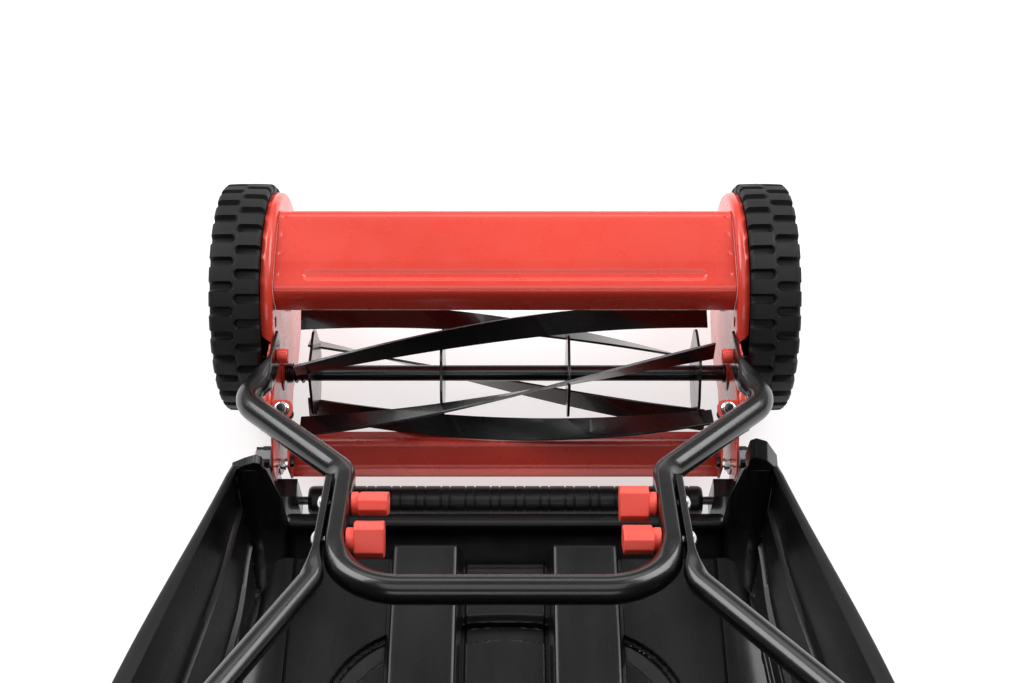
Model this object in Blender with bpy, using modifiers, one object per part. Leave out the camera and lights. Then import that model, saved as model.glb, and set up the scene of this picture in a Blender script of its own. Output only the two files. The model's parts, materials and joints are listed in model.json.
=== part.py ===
"""Reel mower with a rear grass box, 38 cm cut.

X points to the operator's right, Y forward, Z up, in metres. Inside the script every place is
given from the wheel axle: Y forward of it and Z above it.
"""
import bmesh
import bpy
import math
from mathutils import Matrix, Vector

# ---- driving dimensions ----------------------------------------------------------------------
AXLE_FORWARD = 0.4785            # wheel axle, forward of the middle of the whole length
WHEEL_R = 0.1075                 # over the lugs, and so the axle's height
TREAD_IN = 0.2178                # |X| of the tread's inner and outer edge
TREAD_OUT = 0.262
TYRE_BORE = 0.1008
LUGS = 30                        # lugs in each of the two staggered rows
SLOT_DEPTH = 0.005
SLOT_WIDTH = 0.008

FACE_X = 0.207                   # inner face of a side plate
PLATE_R = 0.0985
SHEET = 0.0016
FLANGE = 0.010

REEL_Y = -0.0733
REEL_Z = -0.0161
REEL_R = 0.063
BLADE_ROOT_R = 0.0425
BLADE_LAG = math.radians(7)      # the blade's root trails its cutting edge
BLADE_T = 0.0024
BLADE_LENGTH = 0.379
BLADE_TWIST = math.radians(92)
BLADES = 5
FIRST_BLADE = math.radians(67.5)  # cutting edge at mid length, from forward towards up
SPIDER_XS = (-0.178, -0.0585, 0.0585, 0.178)
SHAFT_R = 0.0074
SHAFT_END = 0.232
BEARING_FACE = 0.2052            # |X| of the reel bearings' inner faces
SPRING_R = 0.0088                # middle of the wire
SPRING_WIRE = 0.0008

MODULE = 0.0025
RING_TEETH = 72
PINION_TEETH = 12
GEAR_IN = 0.2215                 # |X| of the gears' faces
GEAR_OUT = 0.231
BACKLASH = 0.0004

HANDLE_ANGLE = math.radians(29)  # the handle's plane passes through the axle at this slope
PIVOT_S = 0.107                  # handle places are distances S from the axle, along that plane
TUBE_R = 0.011
UPPER_R = 0.0095
WALL = 0.0010
ARM_X = 0.125
CROSSBAR_S = 0.425
BOLT_SS = (0.324, 0.368)
BOLT_R = 0.003
TOP_JOINT_S = 0.78
GRIP_S = 1.20
GRIP_X = 0.235
FLARE_SHIFT = 0.021              # the upper tubes are pulled this far to the right
TOP_HALF_GAP = 0.0123            # the top U lies this far outside the tubes
UPPER_X = 0.1361                 # middle of the pressed end that lies on the lower arm
UPPER_HALF = 0.0032
STRAP_X = 0.2049                 # middle of the lower handle's flattened ends
LOWER_PRESS = [(0.0, 0.0016), (0.042, 0.0016), (0.068, TUBE_R), (0.222, TUBE_R),
               (0.252, 0.0075), (0.324, 0.0075), (0.350, TUBE_R)]
KNOB_TURN = {"upper_left": -33, "lower_left": 60, "upper_right": 57, "lower_right": -21}

ROLLER_Y = -0.169
ROLLER_R = 0.014
ROLLER_LENGTH = 0.372
ROLLER_BORE = 0.0044
ARM_CENTRE_X = 0.2125            # |X| of the middle of a roller arm's web
ARM_WEB = 0.006

PAD_Y = -0.1357                  # middle of the tab that the bed's adjusting bolt hangs from
PAD_Z = 0.0304
PAD_BOLT_X = 0.1985
PAD_TILT = math.radians(20)
PAD_DROP = 0.030                 # from the tab down to the lug of the bed bar
CLAMP = (-0.168, -0.015)         # bolt that locks the roller arm's height

BED_PIVOT = (-0.156, -0.035)
BED_SECTION = [(-0.137, -0.0716), (-0.1165, -0.0688), (-0.1295, -0.0495), (-0.1466, -0.0673),
               (-0.1553, -0.0689)]
BED_HALF = 0.1995
KNIFE_TIP = (-0.1078, -0.0696)
KNIFE_SLOPE = math.radians(7.5)

BOX_FRONT_Y = -0.199
BOX_REAR_Y = -0.50
BOX_FLOOR_Z = -0.0905
BOX_FLOOR_RISE = math.tan(math.radians(7.5))
BOX_RIM_Z = 0.046
BOX_RIM_RISE = math.tan(math.radians(29.5))
BOX_RIM_X = 0.231                # |X| inside the rim at the front
BOX_RIM_SPREAD = 0.151           # widening of the rim per metre back
BOX_RIM_FLANGE = 0.010
BOX_FLOOR_HALF = 0.195
BOX_INLET_HALF = 0.205
BOX_LIP_TOP = 0.010              # the front lip's height above the floor
BOX_WALL = 0.003

GAP = 0.0003                     # between pieces that touch
SEGMENTS = 28

YZ_PLANE = Matrix(((0, 0, 1), (1, 0, 0), (0, 1, 0)))   # local X, Y, Z become Y, Z, X
ALONG_X = Matrix.Rotation(math.pi / 2, 3, "Y")         # local Z becomes X
SIDES = (("left", -1), ("right", 1))


# ---- scene and materials ---------------------------------------------------------------------
def clear_scene():
    for old in list(bpy.data.objects):
        bpy.data.objects.remove(old, do_unlink=True)


def make_collection(name):
    group = bpy.data.collections.new(name)
    bpy.context.scene.collection.children.link(group)
    return group


def material(name, colour, roughness, metallic):
    mat = bpy.data.materials.new(name)
    mat.use_nodes = True
    shader = mat.node_tree.nodes["Principled BSDF"]
    shader.inputs["Base Color"].default_value = (*colour, 1)
    shader.inputs["Roughness"].default_value = roughness
    shader.inputs["Metallic"].default_value = metallic
    return mat


clear_scene()
PARTS = make_collection("reel_mower")
CUTTERS = make_collection("cutters")

LOOKS = {
    "red_paint": ((0.60, 0.03, 0.02), 0.25, 0.0),
    "red_plastic": ((0.80, 0.09, 0.06), 0.45, 0.0),
    "black_paint": ((0.015, 0.015, 0.016), 0.2, 0.0),
    "black_plastic": ((0.02, 0.02, 0.021), 0.4, 0.0),
    "tread": ((0.03, 0.03, 0.031), 0.6, 0.0),
    "steel": ((0.55, 0.55, 0.55), 0.35, 1.0),
    "zinc": ((0.75, 0.75, 0.74), 0.25, 1.0),
    "foam": ((0.02, 0.02, 0.02), 0.9, 0.0),
}


# ---- placing ---------------------------------------------------------------------------------
def empty(name, location, parent=None, tilt=0.0):
    marker = bpy.data.objects.new(name, None)
    PARTS.objects.link(marker)
    marker.location = location
    marker.rotation_euler = (tilt, 0, 0)
    marker.parent = parent
    return marker


AXLE = empty("axle_line", (0, AXLE_FORWARD, WHEEL_R))
REEL = empty("reel_axis", (0, REEL_Y, REEL_Z), AXLE)
BED = empty("bed_pivot_axis", (0, *BED_PIVOT), AXLE)
ROLLER = empty("roller_axis", (0, ROLLER_Y, ROLLER_R - WHEEL_R), AXLE)
HANDLE_PIVOT = (-PIVOT_S * math.cos(HANDLE_ANGLE), PIVOT_S * math.sin(HANDLE_ANGLE))
HANDLE = empty("handle_axis", (0, *HANDLE_PIVOT), AXLE, -HANDLE_ANGLE)
BOX = empty("box_seat", (0, BOX_FRONT_Y, BOX_FLOOR_Z), AXLE)


def along(s):
    """The handle frame's Y of a place at distance s from the axle."""
    return PIVOT_S - s


def add(name, mesh, look, parent, location=(0, 0, 0), turn=Matrix.Identity(3), group=PARTS):
    obj = bpy.data.objects.new(name, mesh)
    group.objects.link(obj)
    obj.parent = parent
    obj.location = location
    obj.rotation_euler = turn.to_euler()
    if look:
        mat = bpy.data.materials.get(name) or material(name, *LOOKS[look])
        mesh.materials.append(mat)
    return obj


def mesh_from(bm, name, sharp=35):
    bmesh.ops.recalc_face_normals(bm, faces=bm.faces)
    mesh = bpy.data.meshes.new(name)
    bm.to_mesh(mesh)
    bm.free()
    mesh.shade_smooth()
    mesh.set_sharp_from_angle(angle=math.radians(sharp))
    return mesh


# ---- shapes ----------------------------------------------------------------------------------
def block(name, look, parent, centre, size, turn=Matrix.Identity(3), round_edge=0.0, group=PARTS):
    bm = bmesh.new()
    bmesh.ops.create_cube(bm, size=1, matrix=Matrix.Diagonal((*size, 1)))
    obj = add(name, mesh_from(bm, name), look, parent, centre, turn, group)
    if round_edge:
        bevel = obj.modifiers.new("round", "BEVEL")
        bevel.width = round_edge
        bevel.segments = 1
    return obj


def rod_x(name, look, parent, radius, x0, x1, yz, sides=SEGMENTS, group=PARTS):
    """A round bar along X."""
    bm = bmesh.new()
    bmesh.ops.create_cone(bm, cap_ends=True, segments=sides, radius1=radius, radius2=radius,
                          depth=abs(x1 - x0))
    place = ((x0 + x1) / 2, *yz)
    return add(name, mesh_from(bm, name), look, parent, place, ALONG_X, group)


def turned_x(name, look, parent, profile, yz=(0, 0), sides=SEGMENTS, mirror=1, turn=0.0,
             group=PARTS, ring=False):
    """A body turned about X from (x, radius) pairs that run down its outer side, +X first."""
    bm = bmesh.new()
    verts = [bm.verts.new((r, 0, x)) for x, r in profile]
    pairs = list(zip(verts, verts[1:]))
    if ring:
        pairs.append((verts[-1], verts[0]))
    for pair in pairs:
        bm.edges.new(pair)
    mesh = bpy.data.meshes.new(name)
    bm.to_mesh(mesh)
    bm.free()
    facing = ALONG_X if mirror > 0 else Matrix.Rotation(-math.pi / 2, 3, "Y")
    turn_about_x = Matrix.Rotation(turn, 3, "X")
    obj = add(name, mesh, look, parent, (0, *yz), turn_about_x @ facing, group)
    screw = obj.modifiers.new("turn", "SCREW")
    screw.axis = "Z"
    screw.steps = sides
    screw.render_steps = sides
    screw.use_merge_vertices = True
    screw.merge_threshold = 0.00001
    return obj


def plate_yz(name, look, parent, outlines, thickness, centre, turn=Matrix.Identity(3),
             group=PARTS):
    """A flat plate across X; the first outline is its edge, the others are holes."""
    curve = bpy.data.curves.new(name, "CURVE")
    curve.dimensions = "2D"
    curve.fill_mode = "BOTH"
    curve.extrude = thickness / 2
    for outline in outlines:
        spline = curve.splines.new("POLY")
        spline.points.add(len(outline) - 1)
        spline.use_cyclic_u = True
        for point, (y, z) in zip(spline.points, outline):
            point.co = (y, z, 0, 1)
    obj = add(name, curve, look, parent, centre, turn @ YZ_PLANE, group)
    return as_mesh(obj)


def as_mesh(obj):
    """The same shape as a mesh object with its caps welded on."""
    view = bpy.context.evaluated_depsgraph_get()
    view.update()
    mesh = bpy.data.meshes.new_from_object(obj.evaluated_get(view))
    bm = bmesh.new()
    bm.from_mesh(mesh)
    bmesh.ops.remove_doubles(bm, verts=bm.verts, dist=0.00001)
    bmesh.ops.recalc_face_normals(bm, faces=bm.faces)
    bm.to_mesh(mesh)
    bm.free()
    mesh.shade_smooth()
    mesh.set_sharp_from_angle(angle=math.radians(35))
    name = obj.name
    group = obj.users_collection[0]
    solid = bpy.data.objects.new(name, mesh)
    group.objects.link(solid)
    solid.parent = obj.parent
    solid.location = obj.location
    solid.rotation_euler = obj.rotation_euler
    bpy.data.objects.remove(obj, do_unlink=True)
    solid.name = name
    return solid


def circle(radius, count, centre=(0, 0), start=0.0):
    steps = [start + math.tau * i / count for i in range(count)]
    return [(centre[0] + radius * math.cos(a), centre[1] + radius * math.sin(a)) for a in steps]


def arc(radius, start, end, count, centre=(0, 0)):
    steps = [math.radians(start + (end - start) * i / count) for i in range(count + 1)]
    return [(centre[0] + radius * math.cos(a), centre[1] + radius * math.sin(a)) for a in steps]


def combine(obj, tool, operation):
    tool.hide_render = True
    tool.display_type = "WIRE"
    step = obj.modifiers.new(operation.lower(), "BOOLEAN")
    step.operation = operation
    step.solver = "EXACT"
    step.object = tool


def cut(obj, tool):
    combine(obj, tool, "DIFFERENCE")


def join(obj, tool):
    combine(obj, tool, "UNION")


def hole_x(obj, parent, radius, x0, x1, yz, sides=20):
    cut(obj, rod_x(obj.name + "_hole", None, parent, radius, x0, x1, yz, sides, CUTTERS))


def sheet_x(name, look, parent, profile, half_width, thickness):
    """A folded sheet: an open (y, z) profile drawn out along X."""
    bm = bmesh.new()
    rows = [[bm.verts.new((x, y, z)) for y, z in profile] for x in (-half_width, half_width)]
    for i in range(len(profile) - 1):
        bm.faces.new((rows[0][i], rows[1][i], rows[1][i + 1], rows[0][i + 1]))
    obj = add(name, mesh_from(bm, name), look, parent)
    solid = obj.modifiers.new("sheet", "SOLIDIFY")
    solid.thickness = thickness
    solid.offset = 0
    solid.use_even_offset = True
    return obj


# ---- side plates -----------------------------------------------------------------------------
ARM_TOP = [(-0.108, 0.034), (-0.125, 0.0355), (-0.149, 0.0275), (-0.1553, 0.0188)]
ARM_END = [(-0.160, 0.0125), (-0.181, -0.004), (-0.181, -0.026), (-0.163, -0.030),
           (-0.163, -0.050), (-0.150, -0.066), (-0.120, -0.078)]
RIM_END = 147                    # rim angle where the ear for the handle's pivot begins
EAR_R = 0.0148
HANDLE_STOP = [(-0.097, 0.017), (-0.1085, 0.0345), (-0.1099, 0.0337), (-0.0984, 0.0162)]


def plate_outline():
    """The plate's edge in three runs: the round rim, the handle's ear, and the rear arm."""
    rim = arc(PLATE_R, -130, RIM_END, 42)
    ear = arc(EAR_R, 72, 215, 6, HANDLE_PIVOT)
    return rim, ear, ARM_TOP, ARM_END


def side_plate(name, side):
    """The face's outline with a rim drawn outwards along part of its edge, given a thickness."""
    rim, ear, arm_top, arm_end = plate_outline()
    outline = rim + ear + arm_top + arm_end
    bm = bmesh.new()
    verts = [bm.verts.new((side * (FACE_X + SHEET / 2), y, z)) for y, z in outline]
    bm.faces.new(verts)
    arm_start = len(rim) + len(ear)
    lips = {}
    for run in (range(len(rim) - 1), range(arm_start, arm_start + len(arm_top) - 1)):
        for i in run:
            for j in (i, i + 1):
                if j not in lips:
                    lips[j] = bm.verts.new((side * (FACE_X + FLANGE), *outline[j]))
            bm.faces.new((verts[i], verts[i + 1], lips[i + 1], lips[i]))
    plate = add(name, mesh_from(bm, name), "red_paint", AXLE)
    sheet = plate.modifiers.new("sheet", "SOLIDIFY")
    sheet.solidify_mode = "NON_MANIFOLD"
    sheet.nonmanifold_thickness_mode = "CONSTRAINTS"
    sheet.thickness = SHEET
    sheet.offset = 0
    join(plate, plate_yz(name + "_stop", None, AXLE, [HANDLE_STOP], FLANGE,
                         (side * (FACE_X + FLANGE / 2), 0, 0), group=CUTTERS))
    tilt = Matrix.Rotation(PAD_TILT, 3, "X")
    pad = block(name + "_pad", None, AXLE, (side * 0.1985, PAD_Y, PAD_Z), (0.0195, 0.017, 0.002),
                tilt, group=CUTTERS)
    join(plate, pad)
    bolt_hole = bmesh.new()
    bmesh.ops.create_cone(bolt_hole, cap_ends=True, segments=16, radius1=0.0044, radius2=0.0044,
                          depth=0.012)
    hole = add(name + "_pad_hole", mesh_from(bolt_hole, "pad_hole"), None, AXLE,
               (side * PAD_BOLT_X, PAD_Y, PAD_Z), tilt, CUTTERS)
    cut(plate, hole)
    near, far = side * (FACE_X - 0.004), side * (FACE_X + 0.004)
    hole_x(plate, AXLE, 0.0082, near, far, (0, 0))
    hole_x(plate, AXLE, 0.0122, near, far, (REEL_Y, REEL_Z))
    hole_x(plate, AXLE, 0.0034, near, far, BED_PIVOT)
    hole_x(plate, AXLE, 0.0034, near, far, CLAMP)
    hole_x(plate, AXLE, 0.0040, near, far, HANDLE_PIVOT)
    hole_x(plate, AXLE, 0.0065, near, far, (-0.0588, 0.0531), 4)
    return plate


# ---- deflector and bed bar -------------------------------------------------------------------
DEFLECTOR = [(0.0610, 0.0400), (0.0520, 0.0660), (0.0440, 0.0820), (0.0380, 0.0868),
             (0.0300, 0.0875), (-0.0160, 0.0868), (-0.0400, 0.0848), (-0.0450, 0.0810),
             (-0.0550, 0.0630)]


def deflector():
    half = FACE_X - GAP
    sheet = sheet_x("front_deflector", "red_paint", AXLE, DEFLECTOR, half, SHEET)
    bead = block("deflector_rib", None, AXLE, (0, -0.029, 0.0861), (0.36, 0.009, 0.0032),
                 group=CUTTERS)
    join(sheet, bead)
    return sheet


def bed_bar():
    shift = Vector((-BED_PIVOT[0], -BED_PIVOT[1]))
    section = [tuple(Vector(p) + shift) for p in BED_SECTION]
    bar = sheet_x("bed_bar", "red_paint", BED, section, BED_HALF, 0.002)
    tilt = Matrix.Rotation(PAD_TILT, 3, "X")
    drop = Vector((PAD_DROP * math.sin(PAD_TILT), -PAD_DROP * math.cos(PAD_TILT)))
    lug_at = Vector((PAD_Y, PAD_Z)) + drop + shift
    ear = [(-0.1600, -0.0690), (-0.1180, -0.0690), (-0.1200, -0.0200), (-0.1318, -0.0080),
           (-0.1325, 0.0010), (-0.1400, 0.0000), (-0.1480, -0.0240), (-0.1640, -0.0290)]
    ear = [tuple(Vector(p) + shift) for p in ear]
    for word, side in SIDES:
        tag = "bed_ear_" + word
        join(bar, plate_yz(tag, None, BED, [ear], 0.002, (side * 0.1986, 0, 0), group=CUTTERS))
        back = tilt @ Vector((0, -0.0035, 0))
        lug = block(tag + "_lug", None, BED, (side * 0.1975, *lug_at), (0.014, 0.020, 0.0025),
                    tilt, group=CUTTERS)
        lug.location += back
        join(bar, lug)
    for word, side in SIDES:
        tag = "bed_bar_" + word
        bm = bmesh.new()
        bmesh.ops.create_cone(bm, cap_ends=True, segments=16, radius1=0.0042, radius2=0.0042,
                              depth=0.010)
        slot = add(tag + "_lug_hole", mesh_from(bm, tag), None, BED, (side * PAD_BOLT_X, *lug_at),
                   tilt, CUTTERS)
        cut(bar, slot)
        hole_x(bar, BED, 0.0034, side * 0.19, side * 0.206, (0, 0))
    return bar


def bed_knife():
    width, thickness = 0.030, 0.0028
    tilt = Matrix.Rotation(KNIFE_SLOPE, 3, "X")
    middle = Vector((0, -width / 2, -thickness / 2))
    middle.rotate(tilt)
    place = (0, KNIFE_TIP[0] + middle.y - BED_PIVOT[0], KNIFE_TIP[1] + middle.z - BED_PIVOT[1])
    return block("bed_knife", "steel", BED, place, (0.386, width, thickness), tilt)


def axis_turned(name, look, parent, profile, place, tilt, sides=16):
    """A turned body with its own axis Z tilted about X."""
    bm = bmesh.new()
    verts = [bm.verts.new((r, 0, z)) for z, r in profile]
    for pair in zip(verts, verts[1:]):
        bm.edges.new(pair)
    if profile[0][1] > 0:
        bm.edges.new((verts[-1], verts[0]))
    mesh = bpy.data.meshes.new(name)
    bm.to_mesh(mesh)
    bm.free()
    obj = add(name, mesh, look, parent, place, Matrix.Rotation(tilt, 3, "X"))
    screw = obj.modifiers.new("turn", "SCREW")
    screw.axis = "Z"
    screw.steps = sides
    screw.render_steps = sides
    screw.use_merge_vertices = True
    screw.merge_threshold = 0.00001
    return obj


def bed_adjusters():
    for word, side in SIDES:
        place = (side * PAD_BOLT_X, PAD_Y, PAD_Z)
        bolt = [(0.0155, 0), (0.0155, 0.0028), (-0.0325, 0.0028), (-0.0325, 0.0056),
                (-0.0365, 0.0056), (-0.0365, 0)]
        axis_turned("bed_bolt_" + word, "steel", AXLE, bolt, place, PAD_TILT)
        nut = [(0.0078, 0.0031), (0.0078, 0.0052), (0.0028, 0.0052), (0.0020, 0.0068),
               (0.0013, 0.0068), (0.0013, 0.0031)]
        axis_turned("bed_nut_" + word, "zinc", AXLE, nut, place, PAD_TILT, 12)
        pin = [(0.2091, 0), (0.2091, 0.0030), (0.1972, 0.0030), (0.1972, 0.0058),
               (0.1940, 0.0058), (0.1940, 0)]
        turned_x("bed_pivot_" + word, "steel", AXLE, pin, BED_PIVOT, 16, side)


# ---- reel ------------------------------------------------------------------------------------
def blade(index):
    """A helical strip from its root to its cutting edge, with flat ends."""
    name = "reel_blade_%d" % (index + 1)
    steps = 22
    edge_at = FIRST_BLADE - math.tau * index / BLADES
    bm = bmesh.new()
    rings = []
    for i in range(steps + 1):
        t = i / steps - 0.5
        lead = edge_at - BLADE_TWIST * t
        tip = Vector((math.cos(lead), math.sin(lead))) * REEL_R
        root_at = lead + BLADE_LAG
        root = Vector((math.cos(root_at), math.sin(root_at))) * BLADE_ROOT_R
        across = (tip - root).orthogonal().normalized() * (BLADE_T / 2)
        corners = (tip + across, tip - across, root - across, root + across)
        ring = [bm.verts.new((BLADE_LENGTH * t, c.x, c.y)) for c in corners]
        rings.append(ring)
    for a, b in zip(rings, rings[1:]):
        for k in range(4):
            bm.faces.new((a[k], a[(k + 1) % 4], b[(k + 1) % 4], b[k]))
    bm.faces.new(rings[0])
    bm.faces.new(rings[-1])
    return add(name, mesh_from(bm, name), "black_paint", REEL)


def spider(index):
    """A stamped disc with one arm up to the root of every blade."""
    x = SPIDER_XS[index]
    turn_here = -BLADE_TWIST * x / BLADE_LENGTH
    outline = []
    for k in range(BLADES):
        arm_at = FIRST_BLADE - math.tau * k / BLADES + turn_here + BLADE_LAG
        for offset, radius in ((17, 0.0395), (6, 0.0413), (-8, 0.0413), (-19, 0.0395),
                               (-36, 0.0365)):
            a = arm_at + math.radians(offset)
            outline.append((radius * math.cos(a), radius * math.sin(a)))
    bore = circle(SHAFT_R + GAP, 20)
    return plate_yz("reel_spider_%d" % (index + 1), "black_paint", REEL, [outline, bore], 0.0025,
                    (x, 0, 0))


def reel():
    shaft = [(SHAFT_END, 0), (SHAFT_END, SHAFT_R), (-SHAFT_END, SHAFT_R), (-SHAFT_END, 0)]
    turned_x("reel_shaft", "black_paint", REEL, shaft, sides=20)
    for i in range(len(SPIDER_XS)):
        spider(i)
    for i in range(BLADES):
        blade(i)
    face = BEARING_FACE - GAP
    collar = [(face, SHAFT_R + GAP), (face, 0.0090), (face - 0.0022, 0.0090),
              (face - 0.0022, SHAFT_R + GAP)]
    turned_x("reel_collar", "black_paint", REEL, collar, sides=20, ring=True)
    for word, side in SIDES:
        bush = [(0.2067, 0.0165), (BEARING_FACE, 0.0160), (BEARING_FACE, SHAFT_R + GAP),
                (0.2125, SHAFT_R + GAP), (0.2125, 0.0118), (0.2067, 0.0118)]
        turned_x("reel_bearing_" + word, "red_paint", REEL, bush, sides=16, mirror=side,
                 ring=True)


def spring():
    """Compression spring round the shaft: close coils at the plate, then open ones."""
    closed_turns, open_turns, per_turn = 3, 3, 9
    start = -BEARING_FACE + GAP + SPRING_WIRE
    end = SPIDER_XS[0] - 0.0024
    closed_pitch = 2 * SPRING_WIRE + 0.0002
    open_pitch = (end - start - closed_pitch * closed_turns) / open_turns
    curve = bpy.data.curves.new("reel_spring", "CURVE")
    curve.dimensions = "3D"
    curve.bevel_depth = SPRING_WIRE
    curve.bevel_resolution = 1
    curve.use_fill_caps = True
    spline = curve.splines.new("POLY")
    spline.points.add((closed_turns + open_turns) * per_turn)
    for i, point in enumerate(spline.points):
        turns = i / per_turn
        x = start + closed_pitch * min(turns, closed_turns)
        x += open_pitch * max(turns - closed_turns, 0)
        a = math.tau * turns
        point.co = (x, SPRING_R * math.cos(a), SPRING_R * math.sin(a), 1)
    return add("reel_spring", curve, "black_paint", REEL)


# ---- gears, wheels and tyres -----------------------------------------------------------------
def tooth_outline(teeth, radii, extra, turn):
    """Involute teeth of 20 degrees through the given radii; extra widens every tooth."""
    pitch_r = MODULE * teeth / 2
    base_r = pitch_r * math.cos(math.radians(20))

    def roll(radius):
        if radius <= base_r:
            return 0.0
        angle = math.acos(base_r / radius)
        return math.tan(angle) - angle

    half = math.pi / (2 * teeth) + extra / (2 * pitch_r) + roll(pitch_r)
    points = []
    for k in range(teeth):
        middle = turn + math.tau * k / teeth
        for r in radii:
            a = middle - half + roll(r)
            points.append((r * math.cos(a), r * math.sin(a)))
        for r in reversed(radii):
            a = middle + half - roll(r)
            points.append((r * math.cos(a), r * math.sin(a)))
    return points


MESH_AT = math.atan2(REEL_Z, REEL_Y)      # direction from the axle to the reel


def pinion(word, side):
    pitch_r = MODULE * PINION_TEETH / 2
    radii = (pitch_r - 0.0024, pitch_r - 0.0002, pitch_r + 0.0019)
    teeth = tooth_outline(PINION_TEETH, radii, -BACKLASH, MESH_AT)
    bore = circle(SHAFT_R + GAP, 16)
    return plate_yz("pinion_" + word, "steel", REEL, [teeth, bore], GEAR_OUT - GEAR_IN - 0.001,
                    (side * (GEAR_IN + GEAR_OUT) / 2, 0, 0))


def wheel(word, side):
    """Hub, closed disc and drum in one, with the ring gear's teeth inside the drum."""
    hub = [(0.2560, 0.0084), (0.2560, 0.0194), (0.2470, 0.0202), (0.2450, 0.0900),
           (0.2600, 0.0940), (0.2600, 0.1004), (0.2190, 0.1004), (0.2190, 0.0955),
           (0.2410, 0.0940), (0.2420, 0.0180), (0.2340, 0.0180), (0.2340, 0.0084)]
    body = turned_x("wheel_" + word, "black_plastic", AXLE, hub, sides=36, mirror=side, ring=True)
    pitch_r = MODULE * RING_TEETH / 2
    space = tooth_outline(RING_TEETH, (pitch_r - 0.0019, pitch_r + 0.0024), BACKLASH, MESH_AT)
    ring = plate_yz("ring_gear_" + word, None, AXLE, [circle(0.0975, 36), space],
                    GEAR_OUT - GEAR_IN, (side * (GEAR_IN + GEAR_OUT) / 2, 0, 0), group=CUTTERS)
    join(body, ring)
    return body


def tyre(word, side):
    """Two staggered rows of lugs; each slot is open to its own edge of the tread."""
    flat = 1 / math.cos(math.pi / (2 * LUGS))
    outer = WHEEL_R * flat
    middle = (TREAD_IN + TREAD_OUT) / 2
    ring = [(TREAD_OUT, TYRE_BORE), (TREAD_OUT, outer - 0.003), (TREAD_OUT - 0.0015, outer),
            (TREAD_IN + 0.0015, outer), (TREAD_IN, outer - 0.003), (TREAD_IN, TYRE_BORE)]
    half_facet = math.pi / (2 * LUGS)
    body = turned_x("tyre_" + word, "tread", AXLE, ring, sides=2 * LUGS, mirror=side,
                    turn=half_facet, ring=True)
    bm = bmesh.new()
    pitch = math.tau / LUGS
    for k in range(LUGS):
        for row, (x0, x1) in enumerate(((middle + 0.002, TREAD_OUT + 0.003),
                                        (TREAD_IN - 0.003, middle - 0.001))):
            a = -math.pi / 2 + pitch * (k + 0.5 + 0.5 * row)
            depth = 2 * SLOT_DEPTH
            size = Matrix.Diagonal((x1 - x0, depth, SLOT_WIDTH, 1))
            out = Matrix.Translation(((x0 + x1) / 2, WHEEL_R, 0))
            bmesh.ops.create_cube(bm, size=1, matrix=Matrix.Rotation(a, 4, "X") @ out @ size)
    mesh = mesh_from(bm, "slots_" + word)
    if side < 0:
        mesh.transform(Matrix.Diagonal((-1, 1, 1, 1)))
        mesh.flip_normals()
    cut(body, add("tyre_slots_" + word, mesh, None, AXLE, group=CUTTERS))
    return body


def wheels():
    for word, side in SIDES:
        wheel(word, side)
        tyre(word, side)
        pinion(word, side)
        stub = [(0.2575, 0), (0.2575, 0.0080), (0.2067, 0.0080), (0.2067, 0.0135),
                (0.2035, 0.0135), (0.2015, 0.0100), (0.2015, 0)]
        turned_x("wheel_axle_" + word, "steel", AXLE, stub, mirror=side, sides=20)
        cap = [(0.2635, 0), (0.2635, 0.0180), (0.2600, 0.0225), (0.2490, 0.0225),
               (0.2490, 0.0215), (0.2565, 0.0200), (0.2590, 0.0120), (0.2590, 0)]
        turned_x("hub_cap_" + word, "red_plastic", AXLE, cap, mirror=side, sides=24)


# ---- rear roller -----------------------------------------------------------------------------
def roller():
    half = ROLLER_LENGTH / 2
    grooves = 9
    land = ROLLER_LENGTH / grooves
    sides = 16
    outer = ROLLER_R / math.cos(math.pi / sides)
    profile = [(half, ROLLER_BORE), (half, outer - 0.003), (half - 0.004, outer)]
    for k in range(1, grooves):
        x = half - land * k
        profile += [(x + 0.0012, outer), (x, outer - 0.0014), (x - 0.0012, outer)]
    profile += [(0.004 - half, outer), (-half, outer - 0.003),
                (-half, ROLLER_BORE)]
    turned_x("rear_roller", "black_plastic", ROLLER, profile, sides=sides, ring=True,
             turn=math.pi / sides)
    axle = [(0.2175, 0), (0.2175, 0.0040), (-0.2175, 0.0040), (-0.2175, 0)]
    turned_x("roller_axle", "steel", ROLLER, axle, sides=16)
    for word, side in SIDES:
        roller_arm(word, side)
        bolt = [(0.2235, 0), (0.2235, 0.0058), (0.2190, 0.0058), (0.2190, 0.0029),
                (0.2030, 0.0029), (0.2030, 0.0055), (0.1985, 0.0055), (0.1985, 0.0029),
                (0.1965, 0.0026), (0.1965, 0)]
        turned_x("height_bolt_" + word, "zinc", AXLE, bolt, CLAMP, 14, side)


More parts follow.
